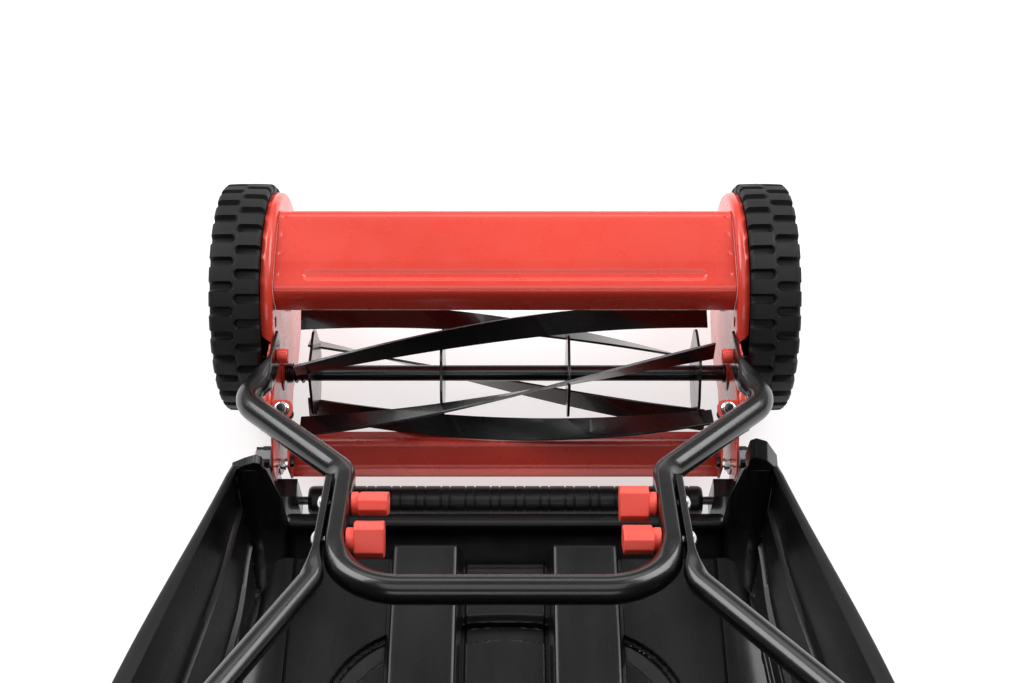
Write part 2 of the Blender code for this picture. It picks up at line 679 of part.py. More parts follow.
def roller_arm(word, side):
    """Notched upright with a slot for the clamp bolt and a foot that carries the grass box."""
    name = "roller_arm_" + word
    axle_z = ROLLER_R - WHEEL_R
    notches = []
    for k in range(4):
        z = -0.080 + 0.013 * k
        notches += [(-0.1810, z), (-0.1785, z + 0.003), (-0.1810, z + 0.006)]
    foot_y = BOX_FRONT_Y - 0.016
    outline = [(-0.158, axle_z - 0.010), (-0.158, 0.002), (-0.162, 0.0095), (-0.176, 0.0095),
               (-0.1810, 0.004)] + notches[::-1] + [
               (-0.1810, axle_z - 0.003), (foot_y, axle_z - 0.003), (foot_y, axle_z - 0.008),
               (-0.176, axle_z - 0.010)]
    outline = [(y - ROLLER_Y, z - axle_z) for y, z in outline]
    slot = arc(0.0036, 0, 180, 6, (CLAMP[0], CLAMP[1] + 0.004))
    slot += arc(0.0036, 180, 360, 6, (CLAMP[0], CLAMP[1] - 0.019))
    slot = [(y - ROLLER_Y, z - axle_z) for y, z in slot]
    arm = plate_yz(name, "black_plastic", ROLLER, [outline, slot], ARM_WEB,
                   (side * ARM_CENTRE_X, 0, 0))
    head = block(name + "_head", None, ROLLER,
                 (side * 0.2155, -0.1700 - ROLLER_Y, 0.0035 - axle_z), (0.0125, 0.015, 0.011),
                 group=CUTTERS)
    join(arm, head)
    inboard = block(name + "_foot", None, ROLLER, (side * 0.2015, -0.0055, 0.0178),
                    (0.0181, 0.0181, 0.0475), group=CUTTERS)
    join(arm, inboard)
    hole_x(arm, ROLLER, 0.0040 + GAP, side * 0.190, side * 0.218, (0, 0), 16)
    return arm


# ---- handle ----------------------------------------------------------------------------------
def rounded(points, radii, step=math.radians(28)):
    """A polyline whose inner corners become arcs of the given radii."""
    path = [Vector(points[0])]
    for before, corner, after, radius in zip(points, points[1:], points[2:], radii):
        before, corner, after = Vector(before), Vector(corner), Vector(after)
        into = (corner - before).normalized()
        out = (after - corner).normalized()
        bend = into.angle(out)
        reach = radius * math.tan(bend / 2)
        side = 1 if into.cross(out) > 0 else -1
        normal = Vector((-into.y, into.x)) * side
        centre = corner - into * reach + normal * radius
        count = max(2, math.ceil(bend / step))
        for k in range(count + 1):
            a = bend * k / count
            path.append(centre - normal * radius * math.cos(a) + into * radius * math.sin(a))
    path.append(Vector(points[-1]))
    return path


def lengths(path):
    total = [0.0]
    for a, b in zip(path, path[1:]):
        total.append(total[-1] + (b - a).length)
    return total


def with_stops(path, near, far):
    """The path with points added at lengths from its start and from its end."""
    total = lengths(path)
    wanted = sorted(set([d for d in near if d > 0] + [total[-1] - d for d in far if d > 0]))
    fine = [path[0]]
    for a, b, start, end in zip(path, path[1:], total, total[1:]):
        for d in wanted:
            if start + 0.006 < d < end - 0.006:
                fine.append(a.lerp(b, (d - start) / (end - start)))
        fine.append(b)
    return fine


def pressed_tube(name, path, squash, radius, around=10):
    """A hollow tube along a path of (x, s); squash gives the half width across at a length."""
    total = lengths(path)
    bm = bmesh.new()
    skins = []
    for inset in (0.0, WALL):
        rings = []
        for i, point in enumerate(path):
            before = path[max(i - 1, 0)]
            after = path[min(i + 1, len(path) - 1)]
            along_path = (after - before).normalized()
            across = Vector((-along_path.y, along_path.x))
            half = squash(total[i], total[-1])
            tall = radius + (radius - half) * 0.42
            half_in = max(half - inset, 0.0004)
            tall_in = tall - inset
            ring = []
            for k in range(around):
                a = math.tau * (k + 0.5) / around
                flat = point + across * half_in * math.cos(a)
                ring.append(bm.verts.new((flat.x, along(flat.y), tall_in * math.sin(a))))
            rings.append(ring)
        skins.append(rings)
    for rings in skins:
        for a, b in zip(rings, rings[1:]):
            for k in range(around):
                bm.faces.new((a[k], a[(k + 1) % around], b[(k + 1) % around], b[k]))
    for end in (0, -1):
        a, b = skins[0][end], skins[1][end]
        for k in range(around):
            bm.faces.new((a[k], a[(k + 1) % around], b[(k + 1) % around], b[k]))
    return add(name, mesh_from(bm, name), "black_paint", HANDLE)


def blend_width(stops):
    """Half width at a distance from the nearer end, eased between (distance, width) stops."""
    def width(length, total):
        d = min(length, total - length)
        for (d0, w0), (d1, w1) in zip(stops, stops[1:]):
            if d <= d1:
                t = max(0.0, (d - d0) / (d1 - d0))
                t = t * t * (3 - 2 * t)
                return w0 + (w1 - w0) * t
        return stops[-1][1]
    return width


def lower_handle():
    left = [(-STRAP_X, 0.088), (-STRAP_X, 0.132), (-0.2225, 0.180), (-ARM_X, 0.286),
            (-ARM_X, CROSSBAR_S)]
    right = [(-x, s) for x, s in reversed(left)]
    radii = [0.030, 0.030, 0.032, 0.052, 0.052, 0.032, 0.030, 0.030]
    stops = [d for d, half in LOWER_PRESS] + [0.055, 0.237, 0.337]
    path = with_stops(rounded(left + right, radii), stops, stops)
    tube = pressed_tube("lower_handle", path, blend_width(LOWER_PRESS), TUBE_R)
    for word, side in SIDES:
        hole_x(tube, HANDLE, 0.0044, side * 0.200, side * 0.209, (0, 0))
        for s in BOLT_SS:
            hole_x(tube, HANDLE, BOLT_R + GAP, side * 0.105, side * 0.145, (along(s), 0), 12)
    return tube


def upper_tubes():
    for word, side in SIDES:
        shift = FLARE_SHIFT
        start = [(side * UPPER_X, 0.303), (side * (UPPER_X + 0.001), 0.412),
                 (side * GRIP_X + shift, 0.584), (side * GRIP_X + shift, TOP_JOINT_S + 0.06)]
        near, far = (0.085, 0.100, 0.115), (0.062, 0.076, 0.090)
        path = with_stops(rounded(start, [0.035, 0.06]), near, far)
        press = [(0.0, UPPER_HALF), (0.085, UPPER_HALF), (0.115, UPPER_R)]

        def width(length, total, stops=press):
            far = total - length
            if far < 0.1:
                return blend_width([(0.0, 0.0060), (0.062, 0.0060), (0.090, UPPER_R)])(far, 9)
            return blend_width(stops)(length, 9)

        tube = pressed_tube("handle_tube_" + word, path, width, UPPER_R, 10)
        for s in BOLT_SS:
            hole_x(tube, HANDLE, BOLT_R + GAP, side * 0.125, side * 0.150, (along(s), 0), 12)
        x = side * GRIP_X + shift
        hole_x(tube, HANDLE, BOLT_R + GAP, x - 0.012, x + 0.012, (along(TOP_JOINT_S + 0.03), 0), 12)


def handle_top():
    """The wide U that the operator holds, pressed flat where it meets the tubes."""
    x = GRIP_X + TOP_HALF_GAP
    shift = FLARE_SHIFT
    left = [(-x + shift, TOP_JOINT_S), (-x + shift, GRIP_S)]
    right = [(x + shift, GRIP_S), (x + shift, TOP_JOINT_S)]
    stops = (0.062, 0.076, 0.090)
    path = with_stops(rounded(left + right, [0.07, 0.07], math.radians(20)), stops, stops)
    press = [(0.0, 0.0060), (0.062, 0.0060), (0.090, UPPER_R)]
    tube = pressed_tube("handle_top", path, blend_width(press), UPPER_R, 10)
    for word, side in SIDES:
        centre = side * x + shift
        hole_x(tube, HANDLE, BOLT_R + GAP, centre - 0.012, centre + 0.012,
               (along(TOP_JOINT_S + 0.03), 0), 12)
    grip = [(0.15, UPPER_R + GAP), (0.15, 0.0150), (-0.15, 0.0150), (-0.15, UPPER_R + GAP)]
    turned_x("handle_grip", "foam", HANDLE, grip, (along(GRIP_S), 0), 20, ring=True)
    bpy.data.objects["handle_grip"].location.x = shift


def carriage_bolts():
    names = ("upper", "lower")
    for word, side in SIDES:
        for s, where in zip(BOLT_SS, names):
            head = UPPER_X + UPPER_HALF + 0.0012
            bolt = [(head + 0.0038, 0), (head + 0.0030, 0.0042), (head + 0.0012, 0.0066),
                    (head, 0.0070), (head, BOLT_R - 0.0001), (0.1010, BOLT_R - 0.0001),
                    (0.1010, 0)]
            turned_x("handle_bolt_%s_%s" % (where, word), "zinc", HANDLE, bolt, (along(s), 0),
                     12, side)


def knob(name, side, s, turn_deg):
    """A round collar and a flat-sided wing block, with a blind hole for the bolt."""
    place = (0, along(s), 0)
    root = empty(name + "_axis", place, HANDLE)
    root.rotation_euler = (math.radians(turn_deg), 0, 0)
    wing = block(name, "red_plastic", root, (side * 0.0985, 0, 0), (0.0205, 0.0275, 0.0175),
                 round_edge=0.0015)
    collar = rod_x(name + "_collar", None, root, 0.0088, side * 0.0985, side * 0.1150, (0, 0),
                   20, CUTTERS)
    join(wing, collar)
    hole_x(wing, root, BOLT_R + GAP, side * 0.0990, side * 0.1200, (0, 0), 12)
    return wing


def knobs():
    for word, side in SIDES:
        for s, where in zip(BOLT_SS, ("upper", "lower")):
            knob("handle_knob_%s_%s" % (where, word), side, s, KNOB_TURN[where + "_" + word])
        x = side * (GRIP_X - UPPER_R) + FLARE_SHIFT
        outer = side * (GRIP_X + TOP_HALF_GAP + 0.0066)
        root = empty("top_screw_%s_axis" % word, (0, along(TOP_JOINT_S + 0.03), 0), HANDLE)
        name = "top_screw_" + word
        wing = block(name, "red_plastic", root, (x - side * 0.010, 0, 0),
                     (0.016, 0.026, 0.0165), round_edge=0.0015)
        shank = rod_x(name + "_shank", None, root, BOLT_R - 0.0001, x - side * 0.010,
                      outer + FLARE_SHIFT, (0, 0), 12, CUTTERS)
        join(wing, shank)
        head = [(0.0045, 0), (0.0038, 0.0042), (0.0012, 0.0070), (0.0, 0.0070), (0.0, 0)]
        cap = turned_x(name + "_head", None, root, head, (0, 0), 12, side, group=CUTTERS)
        cap.location.x = outer + FLARE_SHIFT
        join(wing, cap)


def pivot_nuts():
    for word, side in SIDES:
        boss = [(0.2112, 0), (0.2112, 0.0060), (0.2090, 0.0065), (0.2090, 0.0038),
                (0.2029, 0.0038), (0.2029, 0.0068), (0.1940, 0.0068), (0.1932, 0.0060),
                (0.1932, 0)]
        turned_x("handle_pivot_" + word, "red_paint", HANDLE, boss, (0, 0), 20, side)


# ---- grass box -------------------------------------------------------------------------------
WALL_SHARES = ((0.0, 1.0), (0.45, 0.97), (0.70, 0.86), (0.88, 0.58), (0.97, 0.24))


def box_section(y):
    """Half of the open section at y, from the rim down and in to the middle of the floor."""
    back = BOX_FRONT_Y - y
    floor = BOX_FLOOR_Z + back * BOX_FLOOR_RISE
    rim = BOX_RIM_Z + back * BOX_RIM_RISE
    rim_x = BOX_RIM_X + BOX_RIM_SPREAD * back
    points = [(rim_x + BOX_RIM_FLANGE, rim - 0.004), (rim_x + BOX_RIM_FLANGE - 0.002, rim)]
    for drop, out in WALL_SHARES:
        points.append((BOX_FLOOR_HALF + (rim_x - BOX_FLOOR_HALF) * out, rim - (rim - floor) * drop))
    points.append((BOX_FLOOR_HALF, floor))
    return points


def grass_box():
    stations = [BOX_FRONT_Y, -0.300, -0.400, BOX_REAR_Y + 0.03, BOX_REAR_Y]
    bm = bmesh.new()
    rows = []
    for y in stations:
        half = box_section(y)
        if y == BOX_REAR_Y:
            half = [(x - 0.012, z) for x, z in half]
        whole = [(-x, z) for x, z in half] + [(x, z) for x, z in reversed(half)]
        rows.append([bm.verts.new((x, y, z)) for x, z in whole])
    for a, b in zip(rows, rows[1:]):
        for k in range(len(a) - 1):
            bm.faces.new((a[k], a[k + 1], b[k + 1], b[k]))
    rear = rows[-1]
    count = len(rear)
    for k in range(2, count // 2 - 1):
        bm.faces.new((rear[k], rear[k + 1], rear[count - 2 - k], rear[count - 1 - k]))
    box_front(bm, rows[0])
    offset = Vector((0, BOX_FRONT_Y, BOX_FLOOR_Z))
    for v in bm.verts:
        v.co -= offset
    mesh = mesh_from(bm, "grass_box", 30)
    box = add("grass_box", mesh, "black_plastic", BOX)
    shell = box.modifiers.new("shell", "SOLIDIFY")
    shell.thickness = BOX_WALL
    shell.offset = -1
    shell.use_even_offset = True
    return box


def box_front(bm, front):
    """A low lip across the front of the floor, and a cheek at each side of the inlet."""
    count = len(front)
    floor_left = front[count // 2 - 1]
    floor_right = front[count // 2]
    lip_z = BOX_FLOOR_Z + BOX_LIP_TOP
    lip_left = bm.verts.new((-BOX_FLOOR_HALF, BOX_FRONT_Y, lip_z))
    lip_right = bm.verts.new((BOX_FLOOR_HALF, BOX_FRONT_Y, lip_z))
    bm.faces.new((floor_left, floor_right, lip_right, lip_left))
    wall = len(WALL_SHARES)
    for side, edge in ((-1, front[2:2 + wall]), (1, front[count - 2 - wall:count - 2])):
        corner = bm.verts.new((side * BOX_INLET_HALF, BOX_FRONT_Y, BOX_RIM_Z))
        bm.faces.new((corner, *edge) if side < 0 else (*edge, corner))


def build():
    for word, side in SIDES:
        side_plate("side_plate_" + word, side)
    deflector()
    bed_bar()
    bed_knife()
    bed_adjusters()
    reel()
    spring()
    wheels()
    roller()
    lower_handle()
    upper_tubes()
    handle_top()
    carriage_bolts()
    knobs()
    pivot_nuts()
    grass_box()


build()
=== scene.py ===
"""Looks of the reel mower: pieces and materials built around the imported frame."""
import bmesh
import bpy
import json
from math import atan2, ceil, copysign, cos, hypot, pi, radians, sin, tan, tau
from mathutils import Matrix, Vector


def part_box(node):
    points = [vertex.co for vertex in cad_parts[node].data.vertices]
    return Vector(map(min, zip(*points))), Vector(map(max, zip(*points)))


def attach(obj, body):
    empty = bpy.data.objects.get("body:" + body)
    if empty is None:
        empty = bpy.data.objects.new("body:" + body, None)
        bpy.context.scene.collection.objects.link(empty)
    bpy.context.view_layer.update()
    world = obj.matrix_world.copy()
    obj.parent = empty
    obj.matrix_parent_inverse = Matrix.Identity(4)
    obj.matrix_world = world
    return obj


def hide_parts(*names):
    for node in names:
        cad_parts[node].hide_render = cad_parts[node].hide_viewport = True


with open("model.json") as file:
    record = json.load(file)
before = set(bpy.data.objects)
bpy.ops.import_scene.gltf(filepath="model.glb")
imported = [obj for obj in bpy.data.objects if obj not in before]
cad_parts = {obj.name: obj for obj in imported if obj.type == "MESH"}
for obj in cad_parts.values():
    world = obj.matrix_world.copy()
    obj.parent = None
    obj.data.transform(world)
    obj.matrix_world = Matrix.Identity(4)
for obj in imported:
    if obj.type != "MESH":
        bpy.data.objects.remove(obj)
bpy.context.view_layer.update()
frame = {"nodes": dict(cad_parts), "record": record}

SIDES = (("left", -1), ("right", 1))
low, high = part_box("wheel_axle_left")
AXLE_Y, AXLE_Z = (low.y + high.y) / 2, (low.z + high.z) / 2
HANDLE_ANGLE = radians(29)       # slope of the handle's plane above level
COS_H, SIN_H = cos(HANDLE_ANGLE), sin(HANDLE_ANGLE)
PIVOT_S = 0.107                  # the handle's pivot, along that plane from the axle
REEL_Y, REEL_Z, REEL_R = -0.0733, -0.0161, 0.063


# ---- helpers ----
def at(x, y, z):
    """A place given from the wheel axle."""
    return Vector((x, AXLE_Y + y, AXLE_Z + z))


def on_handle(x, s, n=0.0):
    """A place s from the axle along the handle's plane and n above it."""
    return at(x, -s * COS_H + n * SIN_H, s * SIN_H + n * COS_H)


def smooth_step(a, b, value):
    t = max(0.0, min(1.0, (value - a) / (b - a)))
    return t * t * (3 - 2 * t)


def signed_power(value, power):
    return copysign(abs(value) ** power, value)


def direction(path, i):
    """The way a path runs at its place i."""
    return (path[min(i + 1, len(path) - 1)] - path[max(i - 1, 0)]).normalized()


def lengths_along(path):
    total = [0.0]
    for a, b in zip(path, path[1:]):
        total.append(total[-1] + (b - a).length)
    return total


def new_object(name, data):
    obj = bpy.data.objects.new(name, data)
    bpy.context.scene.collection.objects.link(obj)
    return obj


def mesh_of(name, bm):
    mesh = bpy.data.meshes.new(name)
    bm.to_mesh(mesh)
    bm.free()
    return mesh


def link(name, bm, mat, body, replaces=(), sharp=32):
    """Cleans a mesh and adds it as a piece on a body, creased where it turns over sharp degrees."""
    bmesh.ops.remove_doubles(bm, verts=bm.verts, dist=0.000004)
    bmesh.ops.recalc_face_normals(bm, faces=bm.faces)
    mesh = mesh_of(name, bm)
    mesh.shade_smooth()
    mesh.set_sharp_from_angle(angle=radians(sharp))
    obj = new_object(name, mesh)
    for m in (mat if isinstance(mat, list) else [mat]):
        mesh.materials.append(m)
    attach(obj, body)
    if replaces:
        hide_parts(*replaces)
    return obj


def grid_faces(bm, rows, close_u=False, close_v=False):
    """Quads between rows of vertices; close_v joins each row's ends, close_u the rows' ends."""
    for a, b in zip(rows, rows[1:] + rows[:1] if close_u else rows[1:]):
        count = len(a)
        for k in range(count if close_v else count - 1):
            j = (k + 1) % count
            bm.faces.new((a[k], a[j], b[j], b[k]))


def skin(bm, sections, **closed):
    """Adds a surface through lists of places and returns its rows of vertices."""
    rows = [[bm.verts.new(place) for place in section] for section in sections]
    grid_faces(bm, rows, **closed)
    return rows


def loft(name, sections, mat, body, replaces, sharp):
    """A solid through closed sections, with both ends capped."""
    bm = bmesh.new()
    rows = skin(bm, sections, close_v=True)
    bm.faces.new(rows[0])
    bm.faces.new(rows[-1])
    return link(name, bm, mat, body, replaces, sharp)


def modifier(obj, kind, **settings):
    step = obj.modifiers.new(kind.lower(), kind)
    for key, value in settings.items():
        setattr(step, key, value)


def break_edges(obj, width, segments=2, angle=30):
    modifier(obj, "BEVEL", width=width, segments=segments, limit_method="ANGLE",
             angle_limit=radians(angle))


def evaluated(obj):
    """A mesh of an object as it stands, with its modifiers or its curve worked out."""
    view = bpy.context.evaluated_depsgraph_get()
    view.update()
    return bpy.data.meshes.new_from_object(obj.evaluated_get(view))


def apply_all(obj):
    mesh = evaluated(obj)
    obj.modifiers.clear()
    obj.data = mesh


def turn_onto(bm, centre, axis):
    """Turns a mesh built along Z onto an axis through a place."""
    turn = Vector(axis).to_track_quat("Z", "Y").to_matrix().to_4x4()
    bm.transform(Matrix.Translation(centre) @ turn)


def drill(obj, radius, centre, sides):
    """Cuts a short hole along X and leaves nothing of the tool behind."""
    bm = bmesh.new()
    bmesh.ops.create_cone(bm, cap_ends=True, segments=sides, radius1=radius, radius2=radius,
                          depth=0.02)
    turn_onto(bm, centre, (1, 0, 0))
    tool = new_object("cutter", mesh_of("cutter", bm))
    modifier(obj, "BOOLEAN", operation="DIFFERENCE", solver="EXACT", object=tool)
    apply_all(obj)
    bpy.data.objects.remove(tool, do_unlink=True)


def rounded_profile(points, radius, steps=3):
    """A run of 2-D points with each inner corner turned into a small arc."""
    points = [Vector(p) for p in points]
    path = [points[0]]
    for a, b, c in zip(points, points[1:], points[2:]):
        into, out = b - a, c - b
        reach = min(radius, into.length * 0.45, out.length * 0.45)
        start, end = b - into.normalized() * reach, b + out.normalized() * reach
        for k in range(steps + 1):
            t = k / steps
            path.append(start.lerp(b, t).lerp(b.lerp(end, t), t))
    return path + [points[-1]]


def soften(points, radius):
    """The same run as plain (y, z) pairs."""
    return [tuple(p) for p in rounded_profile(points, radius, 5)]


def arc(radius, start, end, count, centre=(0.0, 0.0)):
    turns = [radians(start + (end - start) * k / count) for k in range(count + 1)]
    return [(centre[0] + radius * cos(a), centre[1] + radius * sin(a)) for a in turns]


def spline_places(points, stations):
    """Places on a Catmull-Rom curve through points, at (span, share of it) stations."""
    pts = [Vector(p) for p in points]
    pts = [pts[0] * 2 - pts[1]] + pts + [pts[-1] * 2 - pts[-2]]
    out = []
    for k, t in stations:
        p0, p1, p2, p3 = pts[k:k + 4]
        out.append(0.5 * ((2 * p1) + (p2 - p0) * t + (2 * p0 - 5 * p1 + 4 * p2 - p3) * t * t
                          + (3 * p1 - p0 - 3 * p2 + p3) * t ** 3))
    return out


def even_curve(points, count):
    """A smooth curve in count steps that are even over the whole of it."""
    spans = len(points) - 1
    stations = []
    for i in range(count + 1):
        u = spans * i / count
        k = min(int(u), spans - 1)
        stations.append((k, u - k))
    return spline_places(points, stations)


def smooth_curve(points, count):
    """A smooth curve in count steps for each span, finest at the points."""
    shares = [0.5 - 0.5 * cos(pi * i / count) for i in range(count)]
    stations = [(k, t) for k in range(len(points) - 1) for t in shares]
    return spline_places(points, stations) + [Vector(points[-1])]


def turned(name, profile, centre, axis, mat, body, replaces, sides, radius):
    """A body of revolution from (along axis, radius) pairs, closed on its axis or as a ring."""
    ring = profile[0][1] > 0.00001
    path = rounded_profile(profile + profile[:1] if ring else profile, radius)
    if ring:
        path = path[:-1]
    bm = bmesh.new()
    skin(bm, [[(p.y * cos(tau * k / sides), p.y * sin(tau * k / sides), p.x)
               for k in range(sides)] for p in path], close_u=ring, close_v=True)
    bmesh.ops.remove_doubles(bm, verts=bm.verts, dist=0.000001)
    bmesh.ops.dissolve_degenerate(bm, edges=bm.edges, dist=0.0000001)
    turn_onto(bm, centre, axis)
    link(name, bm, mat, body, replaces)


def prism(name, outline, holes, x0, x1, mat, body, replaces=(), bevel=0.0004):
    """A plate across X: (y, z) outline from the axle, from x0 to x1, with its edges broken."""
    curve = bpy.data.curves.new(name, "CURVE")
    curve.dimensions = "2D"
    curve.fill_mode = "BOTH"
    curve.extrude = abs(x1 - x0) / 2
    for loop in [outline] + holes:
        spline = curve.splines.new("POLY")
        spline.points.add(len(loop) - 1)
        spline.use_cyclic_u = True
        for point, (y, z) in zip(spline.points, loop):
            point.co = (y, z, 0, 1)
    holder = new_object(name, curve)
    bm = bmesh.new()
    bm.from_mesh(evaluated(holder))
    bpy.data.objects.remove(holder, do_unlink=True)
    turn = Matrix(((0, 0, 1, 0), (1, 0, 0, 0), (0, 1, 0, 0), (0, 0, 0, 1)))
    bm.transform(Matrix.Translation(at((x0 + x1) / 2, 0, 0)) @ turn)
    bmesh.ops.remove_doubles(bm, verts=bm.verts, dist=0.000005)
    break_edges(link(name, bm, mat, body, replaces), bevel, angle=40)


# ---- materials ----
def set_inputs(node, values):
    for key, value in values.items():
        node.inputs[key].default_value = value


class Shader:
    """Builds one node material on a Principled shader."""

    def __init__(self, name, roughness, metallic=0.0, coat=0.0, specular=0.5):
        self.material = bpy.data.materials.new(name)
        self.material.use_nodes = True
        self.nodes = self.material.node_tree.nodes
        self.links = self.material.node_tree.links
        self.main = self.nodes["Principled BSDF"]
        set_inputs(self.main, {"Roughness": roughness, "Metallic": metallic,
                               "Coat Weight": coat, "Coat Roughness": 0.06,
                               "Specular IOR Level": specular})
        self.place = self.nodes.new("ShaderNodeTexCoord").outputs["Object"]

    def noise(self, scale, detail, stretch=(1, 1, 1)):
        mapping = self.nodes.new("ShaderNodeMapping")
        set_inputs(mapping, {"Scale": stretch})
        self.links.new(self.place, mapping.inputs["Vector"])
        node = self.nodes.new("ShaderNodeTexNoise")
        set_inputs(node, {"Scale": scale, "Detail": detail, "Roughness": 0.55})
        self.links.new(mapping.outputs["Vector"], node.inputs["Vector"])
        return node.outputs["Fac"]

    def colour(self, source, dark, light, start=0.3, end=0.7):
        """Base colour from dark to light over a span of the source."""
        node = self.nodes.new("ShaderNodeValToRGB")
        for stop, place, rgb in zip(node.color_ramp.elements, (start, end), (dark, light)):
            stop.position = place
            stop.color = (*rgb, 1)
        self.links.new(source, node.inputs["Fac"])
        self.links.new(node.outputs["Color"], self.main.inputs["Base Color"])

    def rough(self, source, least, most):
        node = self.nodes.new("ShaderNodeMapRange")
        set_inputs(node, {"From Min": 0.3, "From Max": 0.7, "To Min": least, "To Max": most})
        self.links.new(source, node.inputs["Value"])
        self.links.new(node.outputs["Result"], self.main.inputs["Roughness"])

    def bump(self, source, strength, distance):
        node = self.nodes.new("ShaderNodeBump")
        set_inputs(node, {"Strength": strength, "Distance": distance})
        self.links.new(source, node.inputs["Height"])
        self.links.new(node.outputs["Normal"], self.main.inputs["Normal"])


def paint(name, dark, light, roughness, coat, grain=220, peel=0.15):
    """Sprayed gloss paint: faint cloudiness and orange peel."""
    m = Shader(name, roughness, coat=coat)
    m.colour(m.noise(9, 3), dark, light, 0.35, 0.65)
    m.rough(m.noise(30, 5), roughness * 0.85, roughness * 1.2)
    m.bump(m.noise(grain, 2), peel, 0.0004)
    return m.material


def plastic(name, dark, light, roughness, grain=900, relief=0.12, specular=0.5,
            streak=(1, 1, 1)):
    """Moulded plastic: fine spark-eroded grain and uneven sheen."""
    m = Shader(name, roughness, specular=specular)
    m.colour(m.noise(14, 4), dark, light)
    m.rough(m.noise(22, 6, streak), roughness * 0.8, roughness * 1.25)
    m.bump(m.noise(grain, 2), relief, 0.0002)
    return m.material


def metal(name, dark, light, roughness, streak=(1, 1, 1), scale=120):
    m = Shader(name, roughness, metallic=1.0)
    m.colour(m.noise(scale, 5, streak), dark, light)
    m.rough(m.noise(scale * 0.6, 4, streak), roughness * 0.7, roughness * 1.4)
    m.bump(m.noise(scale * 3, 3, streak), 0.08, 0.0002)
    return m.material


RED = paint("red_paint", (0.68, 0.046, 0.026), (0.75, 0.056, 0.033), 0.28, 0.35)
KNOB_RED = plastic("knob_red", (0.88, 0.085, 0.06), (0.95, 0.105, 0.075), 0.38, 700, 0.1)
TUBE = paint("tube_black", (0.003, 0.003, 0.0035), (0.005, 0.005, 0.006), 0.24, 0.3, 260, 0.1)
BLADE = paint("blade_black", (0.003, 0.003, 0.0035), (0.006, 0.006, 0.007), 0.25, 0.4, 200, 0.12)
BOX = plastic("box_black", (0.005, 0.005, 0.0056), (0.009, 0.009, 0.01), 0.27, 1100, 0.1, 0.4,
              (1, 0.15, 0.3))
# Near-black plastic with little sheen for the box's trough: painted shade for the dark gap between
# the lip and the floor.
TROUGH_SHADE = plastic("trough_painted_shade", (0.0008, 0.0008, 0.0009), (0.0015, 0.0015, 0.0016), 0.65, 900,
               0.15, 0.12)
MOULDED = plastic("moulded_black", (0.005, 0.005, 0.0055), (0.008, 0.008, 0.009), 0.34, 900, 0.15,
                  0.4)
TREAD = plastic("tread_rubber", (0.0035, 0.0035, 0.0038), (0.007, 0.007, 0.0075), 0.6, 600, 0.35,
                0.35)
EDGE = metal("ground_edge", (0.1, 0.1, 0.1), (0.26, 0.26, 0.27), 0.42, (1, 14, 14), 90)
STEEL = metal("ground_steel", (0.42, 0.42, 0.43), (0.66, 0.66, 0.67), 0.28, (1, 12, 12), 90)
ZINC = metal("zinc_plate", (0.62, 0.62, 0.62), (0.82, 0.82, 0.81), 0.22)
# Grey for the cap over the black height clamp: a painted highlight for the light on its top face.
CLAMP_HIGHLIGHT = plastic("clamp_painted_highlight", (0.16, 0.16, 0.17), (0.22, 0.22, 0.23), 0.4, 800, 0.2)
FOAM = plastic("grip_foam", (0.01, 0.01, 0.01), (0.016, 0.016, 0.016), 0.85, 500, 0.6, 0.3)


# ---- tyres and wheels ----
TREAD_IN, TREAD_OUT, WHEEL_R, TYRE_BORE = 0.2178, 0.262, 0.1075, 0.0988
LUGS = 30
LUG_PITCH = tau * WHEEL_R / LUGS
# A slot of the tread: where it starts beside the middle, half width, corner and depth.
SLOT_START, SLOT_HALF, SLOT_CORNER, SLOT_DEPTH = 0.0012, 0.004, 0.0032, 0.0056
SEAM_HALF, SEAM_DEPTH = 0.0007, 0.0005     # the groove round the middle of the tread
RING_TEETH, RING_R, RING_SIDES = 72, 0.0968, 96
# One tooth and space of the ring gear: (share of a pitch, radius).
RING_TOOTH = ((-0.14, 0.0882), (0.14, 0.0882), (0.3, 0.0924), (0.7, 0.0924))
RING_TURN = atan2(REEL_Z, REEL_Y) + pi / RING_TEETH       # a space faces the reel's pinion


def slot_depth(theta, x):
    """Depth of the tread's slots at an angle (counted in pitches) and a width from the middle."""
    deepest = SEAM_DEPTH if abs(x) < SEAM_HALF else 0.0
    for shift, across in ((0.21, x), (0.71, -x)):
        along = abs((theta - shift) - round(theta - shift)) * LUG_PITCH
        to_round = SLOT_START + SLOT_CORNER - across
        if to_round > 0:
            gap = hypot(to_round, max(along - (SLOT_HALF - SLOT_CORNER), 0.0)) - SLOT_CORNER
        else:
            gap = along - SLOT_HALF
        deepest = max(deepest, SLOT_DEPTH * (1 - smooth_step(-0.0005, 0.0006, gap)))
    return deepest


def tyre(word, side):
    per_lug, across = 24, 40
    steps = per_lug * LUGS
    half, middle = (TREAD_OUT - TREAD_IN) / 2, side * (TREAD_IN + TREAD_OUT) / 2
    sections = []
    for i in range(steps):
        angle = -pi / 2 + tau * i / steps
        ring = []
        for k in range(across + 1):
            x = (k / across - 0.5) * half * 2
            depth = slot_depth(i / per_lug, x)
            if k in (0, across):
                r = WHEEL_R - 0.003 - depth * 0.95
            else:
                shoulder = 0.0022 * (1 - smooth_step(0.0, 0.0032, half - abs(x))) ** 1.5
                r = WHEEL_R - shoulder - 0.0006 * (x / half) ** 2 - depth
            ring.append((x, r))
        ring += [(half, TYRE_BORE), (-half, TYRE_BORE)]
        sections.append([at(middle + side * x, r * cos(angle), r * sin(angle)) for x, r in ring])
    bm = bmesh.new()
    skin(bm, sections, close_u=True, close_v=True)
    link("tread_" + word, bm, TREAD, "wheel_" + word, ["tyre_" + word], 60)


